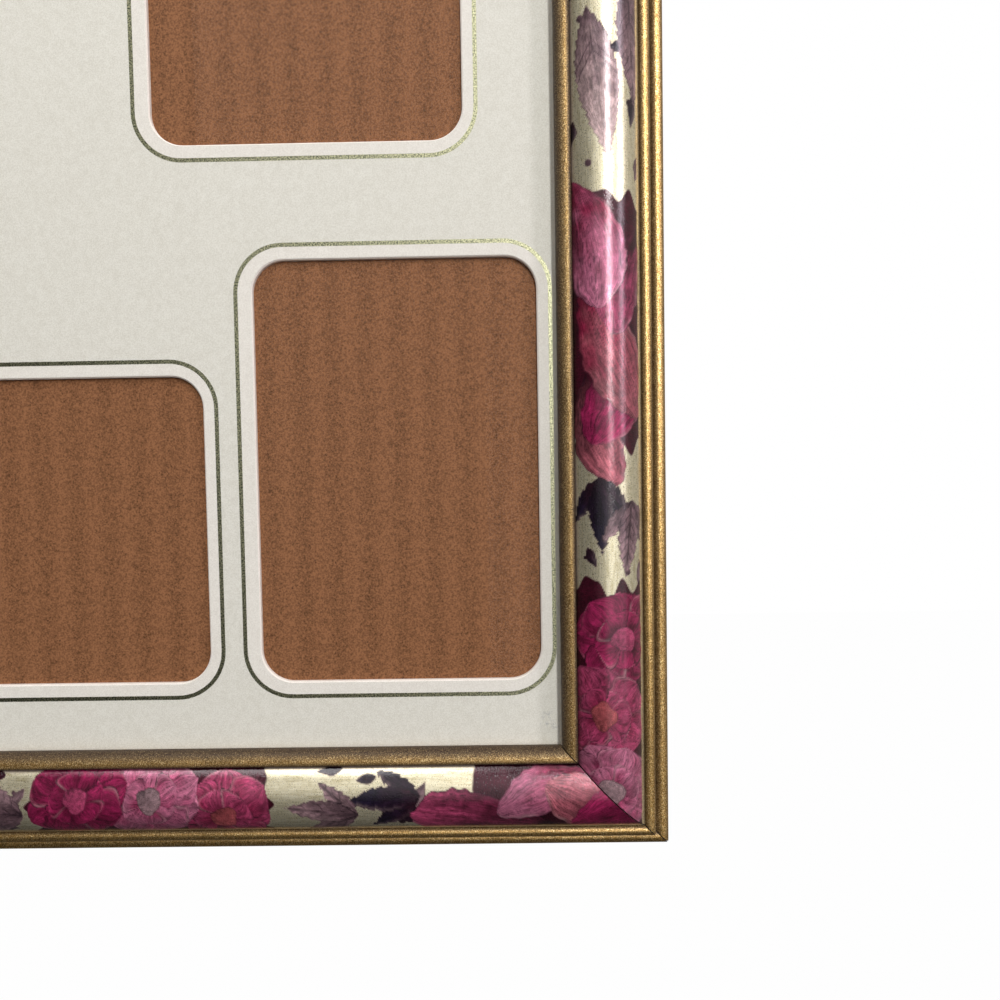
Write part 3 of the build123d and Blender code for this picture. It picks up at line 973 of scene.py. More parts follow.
@dataclass(frozen=True)
class Blade:
    """One painted leaf or petal, in millimetres along and across the band."""

    along: float
    across: float
    turn: float
    length: float
    width: float
    root: str
    tip: str
    outline: Outline = Outline.ROUND
    veins: int = 5
    bend: float = 0.0
    cover: float = 1.0
    edge: str = "24081a"
    seed: int = 1

    def half_width(self, x: np.ndarray, y: np.ndarray) -> np.ndarray:
        """Returns half the blade's width, with its teeth and its ragged edge.

        Args:
            x: How far each point lies along the blade.
            y: How far it lies beside the midrib.

        Returns:
            Half the width at each point.
        """
        skew, blunt, teeth, ragged = self.outline.value
        half = self.width / 2 * np.sin(np.pi * (x / self.length) ** skew) ** blunt
        half = half + ragged * (lattice_noise(x / 1.7 + self.seed, np.sign(y) * 3.0, self.seed) - 0.6)
        return half - teeth * ((x / 2.4) % 1.0)

    def tones(self, x: np.ndarray, y: np.ndarray, lean: np.ndarray) -> np.ndarray:
        """Blends the root's and the tip's inks in streaks, folds and crimps.

        Args:
            x: How far each point lies along the blade.
            y: How far it lies beside the midrib.
            lean: The same as a share of half the width.

        Returns:
            The colour of each point.
        """
        p = x / self.length
        streak = lattice_noise(lean * self.width * 0.55 + 40, x / 6, self.seed)
        fold = lattice_noise(lean * 1.6 + 7, p * 2.5, self.seed + 11)
        patch = lattice_noise(x / 3.1, y / 2.3, self.seed + 7)
        blend = ease(0.1, 0.9, p * 0.7 + patch * 0.4)[:, None]
        colour = ink(self.root) + (ink(self.tip) - ink(self.root)) * blend
        colour = colour * (0.34 + 0.5 * streak + 0.55 * fold + 0.1 * lean)[:, None]
        crimp = lattice_noise(x / 0.9 + 11, y / 0.75 + 11, self.seed + 17)
        return colour * (0.72 + 0.56 * crimp)[:, None]

    def vein(self, x: np.ndarray, y: np.ndarray, lean: np.ndarray, half: np.ndarray) -> np.ndarray:
        """Draws a toothed leaf's slanting ribs, or a petal's veins that fan out along it.

        Args:
            x: How far each point lies along the blade.
            y: How far it lies beside the midrib.
            lean: The same as a share of half the width.
            half: Half the width there.

        Returns:
            How far each point lies in a vein, from zero to one.
        """
        p = x / self.length
        if self.outline is Outline.TOOTHED:
            fan = x / 2.6 - np.abs(y) * 0.5 + 0.3 * lattice_noise(x / 2, y / 2, self.seed + 3)
            rib = 1 - ease(0.15, 0.45, np.abs(y))
            line = np.maximum(1 - ease(0.1, 0.4, np.abs(fan % 1.0 - 0.5) * 2.6), rib)
        else:
            fan = lean * self.veins + 1.2 * lattice_noise(p * 5, lean * 2 + 9, self.seed + 3) + 0.5
            gap = np.abs(fan % 1.0 - 0.5) * np.maximum(half, 0.6) / self.veins * 2
            line = 1 - ease(0.05, 0.3, gap)
        return line * ease(0.0, 0.4, lattice_noise(p * 6 + 3, fan * 0.5, self.seed + 5) - 0.3)

    def paint(self, canvas: PrintCanvas) -> None:
        """Paints the blade: folds and streaks along it, veins, a lit rim and a dark outline.

        Args:
            canvas: The band's painted state.
        """
        turn = math.radians(self.turn)
        du, dv = canvas.along - self.along, canvas.across - self.across
        x = du * math.cos(turn) + dv * math.sin(turn)
        y = dv * math.cos(turn) - du * math.sin(turn)
        within = np.abs(y) < self.width * 0.7 + abs(self.bend)
        where = np.nonzero((x > 0) & (x < self.length) & within)[0]
        if not len(where):
            return
        x, y = x[where], y[where]
        p = x / self.length
        y = y - self.bend * np.sin(np.pi * p)
        half = self.half_width(x, y)
        inside = half - np.abs(y)
        lean = y / np.maximum(half, 0.05)
        colour = self.tones(x, y, lean)
        rim = (1 - ease(0.3, 1.7, inside)) * ease(-0.5, 0.8, lean)
        rim = rim * lattice_noise(x / 2 + 5, lean, self.seed + 13) * 0.4
        colour = colour + (ink(Ink.PALE) - colour) * (rim * ease(0.15, 0.5, p))[:, None]
        broken = ease(0.4, 0.7, lattice_noise(x / 5, lean + 3, self.seed))
        border = (1 - ease(0.2, 0.55, inside)) * (0.45 + 0.55 * broken)
        dark = np.clip(np.maximum(self.vein(x, y, lean, half) * 0.65, border), 0, 1)[:, None]
        colour = colour * (1 - dark) + ink(self.edge) * dark
        flow = np.stack([x * 0.09, lean * self.width * 0.3, np.full(len(x), float(self.seed))], axis=1)
        canvas.lay(where, ease(-0.02, 0.28, inside), colour, flow, self.cover)


@dataclass(frozen=True)
class Bloom:
    """A painted flower of round petals about a middle, in millimetres on the band."""

    along: float
    across: float
    radius: float
    petals: int
    root: str
    tip: str
    turn: float = 0.0
    heart: str = "b8606c"
    heart_share: float = 0.2
    outline: Outline = Outline.SPOON
    seed: int = 1

    def paint(self, canvas: PrintCanvas) -> None:
        """Paints the petals, every other one on top, and then the middle.

        Args:
            canvas: The band's painted state.
        """
        order = list(range(0, self.petals, 2)) + list(range(1, self.petals, 2))
        for i in order:
            Blade(
                self.along,
                self.across,
                self.turn + 360 * i / self.petals + 7 * math.sin(i * 2.3 + self.seed),
                self.radius * (0.93 + 0.07 * math.sin(i * 1.7 + self.seed)),
                2.5 * self.radius * math.sin(math.pi / self.petals),
                self.root,
                self.tip,
                self.outline,
                veins=4,
                seed=self.seed * 31 + i,
            ).paint(canvas)
        du, dv = canvas.along - self.along, canvas.across - self.across
        far = np.hypot(du, dv)
        heart = self.radius * self.heart_share
        where = np.nonzero(far < heart * 1.5)[0]
        if not len(where):
            return
        far, around = far[where], np.arctan2(dv[where], du[where])
        ragged = lattice_noise(1.6 * np.cos(around) + 5, 1.6 * np.sin(around) + 5, self.seed)
        inside = heart * (0.75 + 0.5 * ragged) - far
        patch = lattice_noise(du[where] * 1.6, dv[where] * 1.6, self.seed)
        colour = ink(self.heart) * (0.5 + 0.6 * patch + 0.25 * (dv[where] - du[where]) / heart)[:, None]
        dark = (1 - ease(0.1, 0.5, inside))[:, None] * 0.8
        colour = colour * (1 - dark) + ink("2c0d1c") * dark
        flow = np.stack([far, around * 2, np.zeros(len(far))], axis=1)
        canvas.lay(where, ease(0, 0.25, inside), colour, flow, 1.0)


@dataclass(frozen=True)
class Berry:
    """A small round painted berry or bud."""

    along: float
    across: float
    radius: float
    colour: str

    def paint(self, canvas: PrintCanvas) -> None:
        """Paints the berry with a lit side.

        Args:
            canvas: The band's painted state.
        """
        du, dv = canvas.along - self.along, canvas.across - self.across
        far = np.hypot(du, dv)
        where = np.nonzero(far < self.radius)[0]
        if not len(where):
            return
        inside = self.radius - far[where]
        lit = (0.75 + 0.5 * (-du[where] + dv[where]) / self.radius / 1.4)[:, None]
        flow = np.stack([du[where], dv[where], np.zeros(len(where))], axis=1)
        canvas.lay(where, ease(0, 0.25, inside), ink(self.colour) * lit, flow, 1.0)


class Ink:
    """The print's ink colours."""

    WINE = "3a0819"
    CRIMSON = "7e0a34"
    MAGENTA = "972250"
    ROSE = "aa4165"
    PINK = "bd6c88"
    BLUSH = "a0545f"
    MAUVE = "937579"
    DUSTY = "60474e"
    SLATE = "544a66"
    NIGHT = "1a1226"
    AUBERGINE = "2a101c"
    BRICK = "a64e52"
    PALE = "bda19f"


Motifs = list[Shade | Blade | Bloom | Berry]


def wobble(seed: int, i: int) -> float:
    """Returns a fixed irregular number from -1 to 1."""
    return math.sin(seed * 12.9 + i * 4.1)


def leaf_spray(along: float, across: float, turn: float, dark: bool, seed: int) -> Motifs:
    """Returns three leaves that fan out from a point.

    Args:
        along: The point's place along the band.
        across: Its place across the band.
        turn: The middle leaf's direction in degrees, about.
        dark: Whether the leaves are dark or dusty.
        seed: Picks their raggedness.

    Returns:
        The leaves.
    """
    root, tip = (Ink.AUBERGINE, Ink.NIGHT) if dark else (Ink.DUSTY, Ink.MAUVE)
    toothed = dict(outline=Outline.TOOTHED, veins=3, edge="150a14")
    sizes = [(-34, 15, 5.5), (30, 17, 6.5), (-2, 21, 7.5)]
    return [
        Blade(along, across, turn + t, length, width, root, tip, seed=seed + i, **toothed)
        for i, (t, length, width) in enumerate(sizes)
    ]


def leaflets(start: float, end: float, seed: int) -> Motifs:
    """Returns small leaves and berries along both edges of a stretch of bare foil.

    Args:
        start: Where the stretch starts along the band.
        end: Where it ends.
        seed: Picks the leaves' places and turns.

    Returns:
        The leaves and berries.
    """
    motifs: Motifs = []
    for i in range(round((end - start) / 6)):
        spot, low = start + 6 * i + 2 * wobble(seed, i), i % 2 == 0
        root, tip = (Ink.AUBERGINE, Ink.NIGHT) if i % 3 else (Ink.DUSTY, Ink.MAUVE)
        across = (2.5 if low else 18) + 2 * wobble(seed + 2, i)
        turn = (30 if low else -30) + 35 * wobble(seed + 4, i)
        length = 8 + 2 * wobble(seed + 6, i)
        motifs.append(Blade(spot, across, turn, length, 3.2, root, tip, Outline.LANCE, 2, seed=seed + i))
        motifs.append(Berry(spot + 3, 10 + 7 * wobble(seed + 8, i), 0.7 + 0.4 * (i % 2), root))
    return motifs


def petal_bank(start: float, end: float, seed: int) -> Motifs:
    """Returns broad petals that overlap like shingles.

    Args:
        start: Where the top petal starts along the band.
        end: Where the lowest petal starts.
        seed: Picks the petals' inks, places and turns.

    Returns:
        The shade beneath, then the petals from the end back to the start.
    """
    inks = [
        (Ink.WINE, Ink.ROSE),
        (Ink.CRIMSON, Ink.BLUSH),
        (Ink.WINE, Ink.MAGENTA),
        (Ink.WINE, Ink.BLUSH),
        (Ink.CRIMSON, Ink.PINK),
    ]
    motifs: Motifs = [Shade(start, end, Ink.WINE, seed)]
    count = round((end - start) / 12)
    for i in reversed(range(count)):
        low = i % 2 == 0
        root, tip = inks[(i + seed) % len(inks)]
        motifs.append(
            Blade(
                start - 6 + (end - start) * i / count,
                (2 if low else 18.5) + 2 * wobble(seed, i),
                (17 if low else -15) + 7 * wobble(seed + 3, i),
                34 + 6 * wobble(seed + 5, i),
                15.5 + 2.5 * wobble(seed + 7, i),
                root,
                tip,
                Outline.ROUND,
                veins=6,
                bend=2.5 * wobble(seed + 9, i),
                seed=seed * 17 + i,
            )
        )
    return motifs


def blossom_row(start: float, end: float, inks: list[tuple[str, str, str]], seed: int) -> Motifs:
    """Returns ruffled blossoms that crowd a stretch.

    Args:
        start: Where the stretch starts along the band.
        end: Where it ends.
        inks: Each blossom's root, tip and heart inks.
        seed: Picks the blossoms' places and raggedness.

    Returns:
        The shade beneath, then each blossom's outer and inner petals.
    """
    motifs: Motifs = [Shade(start - 4, end + 4, Ink.WINE, seed)]
    step = (end - start) / len(inks)
    for i, (root, tip, heart) in enumerate(inks):
        spot = start + step * (i + 0.5)
        across = 10 + 3.5 * wobble(seed, i)
        petals = 8 + i % 2
        outer = Bloom(spot, across, step * 0.72, petals, root, tip, 12 * i, heart, 0.0, seed=seed + i)
        inner = Bloom(
            spot, across, step * 0.42, petals - 3, root, tip, 30 * i, heart, 0.42, seed=seed + 40 + i
        )
        motifs += [outer, inner]
    return motifs


CRIMSON_BLOSSOM = (Ink.CRIMSON, Ink.ROSE, Ink.BRICK)
PINK_BLOSSOM = (Ink.MAGENTA, Ink.PINK, Ink.MAUVE)
VIOLET_BLOSSOM = (Ink.NIGHT, Ink.SLATE, Ink.BRICK)
DEEP_BLOSSOM = (Ink.WINE, Ink.MAGENTA, Ink.ROSE)


def print_of(side: Side) -> Motifs:
    """Returns a band's painted motifs, the lowest first.

    Args:
        side: The side that the band covers.

    Returns:
        Shades, blades, blooms and berries, placed along and across the band.
    """
    if side is Side.RIGHT:
        return [
            *leaflets(-190, -152, 10),
            *leaf_spray(-176, 12, 8, False, 11),
            *petal_bank(-150, -90, 6),
            *blossom_row(-78, -40, [VIOLET_BLOSSOM, PINK_BLOSSOM], 5),
            *leaflets(-38, 24, 25),
            *leaf_spray(-42, 6, 6, True, 12),
            Blade(-26, 16, 4, 34, 10, Ink.DUSTY, Ink.MAUVE, Outline.TOOTHED, 5, seed=34),
            Blade(-18, 5, 8, 40, 12, Ink.DUSTY, Ink.PALE, Outline.TOOTHED, 6, seed=35),
            *petal_bank(30, 92, 14),
            *leaflets(104, 128, 19),
            *leaf_spray(100, 7, 4, True, 21),
            *leaf_spray(106, 16, -4, False, 26),
            *blossom_row(132, 192, [DEEP_BLOSSOM, CRIMSON_BLOSSOM, PINK_BLOSSOM], 23),
        ]
    if side is Side.BOTTOM:
        return [
            *petal_bank(-166, -112, 57),
            *leaflets(-98, -66, 39),
            *leaf_spray(-96, 8, 5, True, 53),
            *leaf_spray(-80, 13, -5, False, 55),
            *blossom_row(-54, 4, [CRIMSON_BLOSSOM, PINK_BLOSSOM, DEEP_BLOSSOM], 43),
            *leaflets(6, 22, 41),
            *leaf_spray(8, 12, -5, False, 40),
            *petal_bank(20, 90, 48),
            *blossom_row(110, 156, [VIOLET_BLOSSOM, PINK_BLOSSOM], 51),
        ]
    reach = SIZES.half_edge(side) + SECTION.width
    first = 60 if side is Side.LEFT else 90
    motifs: Motifs = []
    spot, turn = -reach, 0
    while spot < reach:
        seed = first + turn
        motifs += leaflets(spot - 16, spot + 4, seed)
        if (turn + first // 30) % 2:
            motifs += leaf_spray(spot - 12, 8, 4, turn % 4 == 1, seed)
            motifs += petal_bank(spot, spot + 58, seed)
        else:
            motifs += leaf_spray(spot - 14, 12, -5, turn % 4 == 0, seed)
            motifs += blossom_row(spot, spot + 58, [CRIMSON_BLOSSOM, VIOLET_BLOSSOM, PINK_BLOSSOM], seed)
        spot, turn = spot + 72, turn + 1
    return motifs


@dataclass
class Moulding:
    """The four mitred rails with their printed bands."""

    lip_steps: int = 18
    band_steps: int = 62
    back_steps: int = 8
    grid_mm: float = 0.32
    bare_margin: float = 1.5

    def rail(self, side: Side, finishes: list[bpy.types.Material]) -> bpy.types.Object:
        """Builds one gilded rail.

        Args:
            side: The rail's side.
            finishes: The finishes of its front, its back and its mitred ends.

        Returns:
            The rail.
        """
        s = SECTION
        wire = SectionWire((s.rabbet_wall, 0.0))
        wire.line((s.rabbet_wall, s.ledge), (0.0, s.ledge), (0.0, s.ledge + s.lip_foot))
        wire.arc((s.lip_radius, s.ledge + s.lip_foot), -90, self.lip_steps)
        wire.arc((s.lip_radius, s.valley[1]), -90, self.lip_steps // 2)
        core = s.band_radius - s.band_thickness - s.glue_line
        wire.line(on_circle(s.band_centre, core, s.angle(s.valley)))
        wire.arc(s.band_centre, -s.band_sweep, self.band_steps // 2)
        wire.line(s.band_foot, on_circle(s.upper_bead, s.upper_radius, s.upper_start))
        wire.arc(s.upper_bead, s.upper_end - s.upper_start, self.lip_steps)
        self.cove(wire)
        wire.arc(s.lower_bead, -s.lower_start, self.lip_steps)
        wire.line((s.width, s.back_radius))
        wire.arc((s.width - s.back_radius, s.back_radius), -90, 4)
        bm = wire.sweep(side, SIZES.half_edge(side) + s.width + 1, 1, s.joint, s.corner_radius)
        to_section = SIZES.placement(side).inverted()
        for face in bm.faces:
            middle = to_section @ face.calc_center_median()
            facing = (to_section.to_3x3() @ face.normal).normalized()
            rabbet = middle.x < s.rabbet_wall + ON_PLANE and middle.y < s.ledge + ON_PLANE
            mitred = facing.x < -0.5 and abs(facing.z) > 0.5
            face.material_index = 2 if mitred else 1 if rabbet or middle.y < ON_PLANE else 0
        return make_piece(f"gilded_rail_{side.label}", bm, finishes, (f"rail_{side.label}",))

    def cove(self, wire: SectionWire) -> None:
        """Draws the hollow between the two beads.

        Args:
            wire: The rail's section, drawn as far as the upper bead's end.
        """
        s = SECTION
        foot = Vector(on_circle(s.lower_bead, s.lower_radius, s.lower_start))
        top = wire.tip.co.to_2d()
        half = (foot - top).length / 2
        radius = (half**2 + s.cove_depth**2) / (2 * s.cove_depth)
        run = (foot - top).normalized()
        centre = (foot + top) / 2 + Vector((-run.y, run.x)) * (radius - s.cove_depth)
        wire.arc(tuple(centre), math.degrees(2 * math.asin(half / radius)), 8)
        bmesh.ops.pointmerge(wire.bm, verts=[wire.tip], merge_co=(*foot, 0.0))

    def band(self, side: Side, paper: bpy.types.Material) -> bpy.types.Object:
        """Builds one printed band with its painted attributes.

        Args:
            side: The band's side.
            paper: The printed foil.

        Returns:
            The band.
        """
        s = SECTION
        half = SIZES.half_edge(side) + s.width
        wire = SectionWire(s.valley)
        wire.arc(s.band_centre, -s.band_sweep, self.band_steps)
        back = s.band_radius - s.band_thickness
        wire.line(on_circle(s.band_centre, back, s.angle(s.band_foot)))
        wire.arc(s.band_centre, s.band_sweep, self.back_steps)
        bm = wire.sweep(side, half, round(2 * half / self.grid_mm), s.joint)
        piece = make_piece(
            f"floral_band_{side.label}", bm, [paper], (f"printed_band_{side.label}",)
        )
        self.paint(piece, side)
        return piece

    def paint(self, piece: bpy.types.Object, side: Side) -> None:
        """Writes a band's ink, cover and stroke attributes.

        Args:
            piece: The band.
            side: Its side.
        """
        mesh = piece.data
        count = len(mesh.vertices)
        flat = np.empty(count * 3, np.float32)
        mesh.vertices.foreach_get("co", flat)
        turned = np.array(SIZES.placement(side).inverted())
        local = flat.reshape(-1, 3).astype(float) @ turned[:3, :3].T + turned[:3, 3]
        centre = SECTION.band_centre
        angle = np.degrees(np.arctan2(local[:, 1] - centre[1], local[:, 0] - centre[0]))
        across = np.radians(SECTION.angle(SECTION.valley) - angle) * SECTION.band_radius
        canvas = PrintCanvas(local[:, 2], across)
        for motif in print_of(side):
            motif.paint(canvas)
        # Painted shade: towards the valley by the lip the ink darkens and hides the foil, standing in for the
        # lip's shade and its dark reflection in the film.
        edge = ease(-0.3, 1.5, across)
        canvas.cover = 1 - (1 - canvas.cover) * edge
        canvas.ink *= (0.25 + 0.75 * edge)[:, None]
        margin = SECTION.band_radius * math.radians(SECTION.band_sweep) - across
        margin = margin + 0.5 * lattice_noise(canvas.along / 2.6, across * 0, 3)
        canvas.cover *= ease(self.bare_margin, self.bare_margin + 0.4, margin)
        colours = np.concatenate([canvas.ink, np.ones((count, 1))], axis=1)
        for name, kind, field, values in (
            ("print_ink", "FLOAT_COLOR", "color", colours),
            ("print_cover", "FLOAT", "value", canvas.cover),
            ("print_stroke", "FLOAT_VECTOR", "vector", canvas.stroke),
        ):
            mesh.attributes.new(name, kind, "POINT").data.foreach_set(field, values.ravel())

    def build(self) -> None:
        """Builds the rails and the bands."""
        # The mitred ends are painted near black: painted shade in the narrow joint gap.
        mitre_shade_wood = BareWood("mitre_end_painted_shade", "3b2513", "1f1209")
        rail_finishes = [f.material() for f in (BronzeGilding(), BareWood(), mitre_shade_wood)]
        paper = FoilPrint().material()
        for side in Side:
            self.rail(side, rail_finishes)
            self.band(side, paper)


@dataclass(frozen=True)
class Opening:
    """One rounded opening in the mat: its middle and size in millimetres."""

    x: float
    z: float
    width: float
    height: float


@dataclass
class CollageMat:
    """The mat board with seven openings and the foil line stamped round each."""

    corner: float = 8.6
    line_offset: float = 4.0
    line_width: float = 1.1
    line_proud: float = 0.012
    line_shift: float = -0.4
    cut_round: float = 0.34
    corner_steps: int = 14
    openings: tuple[Opening, ...] = (
        Opening(0.0, -112.85, 77.7, 82.6),
        Opening(-90.6, -97.75, 75.5, 112.8),
        Opening(90.6, -97.75, 75.5, 112.8),
        Opening(-68.3, 18.65, 82.4, 59.0),
        Opening(68.3, 18.65, 82.4, 59.0),
        Opening(-66.675, 116.4, 112.8, 75.5),
        Opening(66.675, 116.4, 112.8, 75.5),
    )

    def loop(self, bm: bmesh.types.BMesh, hole: Opening, grow: float, shift: float = 0.0) -> list:
        """Draws one rounded outline.

        Args:
            bm: The mesh that gets it.
            hole: The opening that it follows.
            grow: How far it lies outside the opening's edge.
            shift: How far it is moved along X.

        Returns:
            The outline's edges.
        """
        made = bmesh.ops.create_grid(bm, x_segments=1, y_segments=1, size=0.5)["verts"]
        bmesh.ops.scale(bm, vec=(hole.width + 2 * grow, hole.height + 2 * grow, 1), verts=made)
        bmesh.ops.translate(bm, vec=(hole.x + shift, hole.z, 0), verts=made)
        rounded = bmesh.ops.bevel(
            bm,
            geom=made,
            offset=self.corner + grow,
            offset_type="OFFSET",
            segments=self.corner_steps,
            profile=0.5,
            affect="VERTICES",
            material=-1,
        )["verts"]
        edges = list({e for v in rounded for e in v.link_edges})
        bmesh.ops.delete(bm, geom=list(rounded[0].link_faces), context="FACES_ONLY")
        return edges

    def place(self, bm: bmesh.types.BMesh, height: float) -> None:
        """Stands a mesh drawn flat in X and Y upright at a height in front of the back.

        Args:
            bm: The mesh.
            height: How far its Z of zero lies in front of the back.
        """
        upright = Matrix(((1, 0, 0, 0), (0, 0, -1, -height), (0, 1, 0, 0), (0, 0, 0, 1)))
        bmesh.ops.transform(bm, matrix=Matrix.Scale(MM, 4) @ upright, verts=bm.verts[:])

    def board(self, finishes: list[bpy.types.Material]) -> bpy.types.Object:
        """Builds the mat board.

        Args:
            finishes: The face paper, the face paper inside the stamped lines, and the cut edge.

        Returns:
            The mat.
        """
        bm = bmesh.new()
        made = bmesh.ops.create_grid(bm, x_segments=1, y_segments=1, size=0.5)["verts"]
        bmesh.ops.scale(bm, vec=(2 * SIZES.glass_x, 2 * SIZES.glass_z, 1), verts=made)
        outer = list({e for v in made for e in v.link_edges})
        bmesh.ops.delete(bm, geom=list({f for v in made for f in v.link_faces}), context="FACES_ONLY")
        for hole in self.openings:
            cut = self.loop(bm, hole, 0.0)
            brink = self.loop(bm, hole, self.cut_round)
            line = self.loop(bm, hole, self.line_offset, self.line_shift)
            outer += line
            for face in bmesh.ops.bridge_loops(bm, edges=cut + brink)["faces"]:
                face.material_index = 2
            for face in bmesh.ops.bridge_loops(bm, edges=brink + line)["faces"]:
                face.material_index = 1
            sunk = list({v for e in cut for v in e.verts})
            bmesh.ops.translate(bm, vec=(0, 0, -self.cut_round), verts=sunk)
        bmesh.ops.triangle_fill(bm, use_beauty=True, use_dissolve=False, edges=outer)
        thickness = SIZES.mat_front - SIZES.pad_front
        bmesh.ops.translate(bm, vec=(0, 0, thickness), verts=bm.verts[:])
        back = made_verts(bmesh.ops.extrude_face_region(bm, geom=bm.faces[:])["geom"])
        bmesh.ops.scale(bm, vec=(1, 1, 0), verts=back)
        bmesh.ops.recalc_face_normals(bm, faces=bm.faces[:])
        for face in bm.faces:
            if abs(face.normal.z) < 0.5:
                face.material_index = 2
        self.place(bm, SIZES.pad_front)
        return make_piece("collage_mat", bm, finishes, ("mat_board",))

    def lines(self, foil: bpy.types.Material) -> bpy.types.Object:
        """Builds the stamped lines as one thin piece.

        Args:
            foil: The stamping foil.

        Returns:
            The lines.
        """
        bm = bmesh.new()
        for hole in self.openings:
            inner = self.loop(bm, hole, self.line_offset - self.line_width / 2, self.line_shift)
            outer = self.loop(bm, hole, self.line_offset + self.line_width / 2, self.line_shift)
            bmesh.ops.bridge_loops(bm, edges=inner + outer)
        bmesh.ops.recalc_face_normals(bm, faces=bm.faces[:])
        moved = made_verts(bmesh.ops.extrude_face_region(bm, geom=bm.faces[:])["geom"])
        bmesh.ops.translate(bm, vec=(0, 0, self.line_proud), verts=moved)
        bmesh.ops.recalc_face_normals(bm, faces=bm.faces[:])
        self.place(bm, SIZES.mat_front)
        return make_piece("stamped_lines", bm, [foil])

    def build(self) -> None:
        """Builds the mat and its lines."""
        pressed = MatPaper("pressed_mat_paper", "ebe6dc", "dfd9ce")
        core = MatPaper("mat_core", "f6efe6", "ece3d8", 2.0, 0.3)
        self.board([finish.material() for finish in (MatPaper(), pressed, core)])
        self.lines(StampedFoil().material())


@dataclass
class GlassPane:
    """The glass in the rabbet, a hair in front of the mat, with seamed edges."""

    clearance: float = 0.05
    seam: float = 0.25

    def build(self) -> None:
        """Builds the pane."""
        bm = bmesh.new()
        thickness = SIZES.glass_front - SIZES.mat_front - self.clearance
        bmesh.ops.create_cube(bm, size=1.0)
        bmesh.ops.scale(bm, vec=(2 * SIZES.glass_x, thickness, 2 * SIZES.glass_z), verts=bm.verts[:])
        bmesh.ops.bevel(
            bm,
            geom=bm.edges[:],
            offset=self.seam,
            offset_type="OFFSET",
            segments=1,
            profile=0.5,
            affect="EDGES",
            material=-1,
        )
        bmesh.ops.translate(bm, vec=(0, -SIZES.glass_front + thickness / 2, 0), verts=bm.verts[:])
        bmesh.ops.scale(bm, vec=(MM, MM, MM), verts=bm.verts[:])
        make_piece("glass_sheet", bm, [PictureGlass().material()], ("glass_pane",))


@dataclass
class BackFittings:
    """Finishes for the CAD nodes that keep their own shapes."""

    nodes: dict[str, bpy.types.Object]

    def dress(self) -> None:
        """Gives every CAD node that stays its finish."""
        zinc = PlatedSteel("zinc_plated_steel", "b4b6b8", "a0a2a4", 0.42).material()
        screw = PlatedSteel("bright_zinc_screw", "c6c5be", "a3a199", 0.28).material()
        brass = PlatedSteel("brassed_steel", "b39b69", "9c8554", 0.36).material()
        nail = PlatedSteel("bright_nail_steel", "8d8d90", "6c6c70", 0.4).material()
        finishes = {
            "corner_nails": nail,
            "corrugated_pad": KraftBoard().material(),
            "backing_board": Hardboard().material(),
            "button_screws": screw,
            "sawtooth_hanger": brass,
            "hanger_nails": brass,
        }
        for name, node in self.nodes.items():
            finish = zinc if name.startswith("turn_button") else finishes.get(name)
            if finish is None:
                continue
            node.data.materials.clear()
            node.data.materials.append(finish)
            log.info("%s: dressed", name)


@dataclass(frozen=True)
class PhotoCamera:
    """The photograph's camera, placed from the mat's measured edges, in millimetres and degrees."""

    lens: float = 27.0
    sensor: float = 36.0
    distance: float = 200.475
    turn: tuple[float, float, float] = (2.17, 0.62, -0.91)
    aim: tuple[float, float, float] = (117.85, -9.2, -105.85)

    def build(self) -> None:
        """Makes the camera and sets it as the scene's."""
        turn = Vector([math.radians(t) for t in self.turn])
        seen = Matrix.Rotation(turn.length, 3, turn).transposed()
        to_frame = Matrix(((1, 0, 0), (0, 0, 1), (0, -1, 0)))
        axes = to_frame @ seen
        eye = Vector(self.aim) + axes @ Vector((0, 0, -self.distance))
        data = bpy.data.cameras.new("photo_camera")
        data.lens, data.sensor_width = self.lens, self.sensor
        data.clip_start = MM
        camera = bpy.data.objects.new("photo_camera", data)
        bpy.context.scene.collection.objects.link(camera)
        facing = Matrix((axes.col[0], -axes.col[1], -axes.col[2])).transposed().to_4x4()
        camera.matrix_world = Matrix.Translation(eye * MM) @ facing
        bpy.context.scene.camera = camera


@dataclass(frozen=True)
class Lamp:
    """A soft studio lamp that faces the frame, in metres and degrees as seen from it."""

    name: str
    bearing: float
    rise: float
    far: float
    width: float
    height: float
    level: float
    tint: str = "ffffff"

    def build(self) -> None:
        """Makes the lamp; its level is its brightness with white as one."""
        data = bpy.data.lights.new(self.name, "AREA")
        data.color = linear(self.tint)[:3]
        data.shape, data.size, data.size_y = "RECTANGLE", self.width, self.height
        data.energy = self.level * math.pi * self.width * self.height
        lamp = bpy.data.objects.new(self.name, data)
        bpy.context.scene.collection.objects.link(lamp)
        bearing, rise = math.radians(self.bearing), math.radians(self.rise)
        level = Vector((math.sin(bearing), -math.cos(bearing), 0.0))
        away = level * math.cos(rise) + Vector((0.0, 0.0, math.sin(rise)))
        lamp.location = Vector(LIT_POINT) + away * self.far
        lamp.rotation_euler = away.to_track_quat("Z", "Y").to_euler()


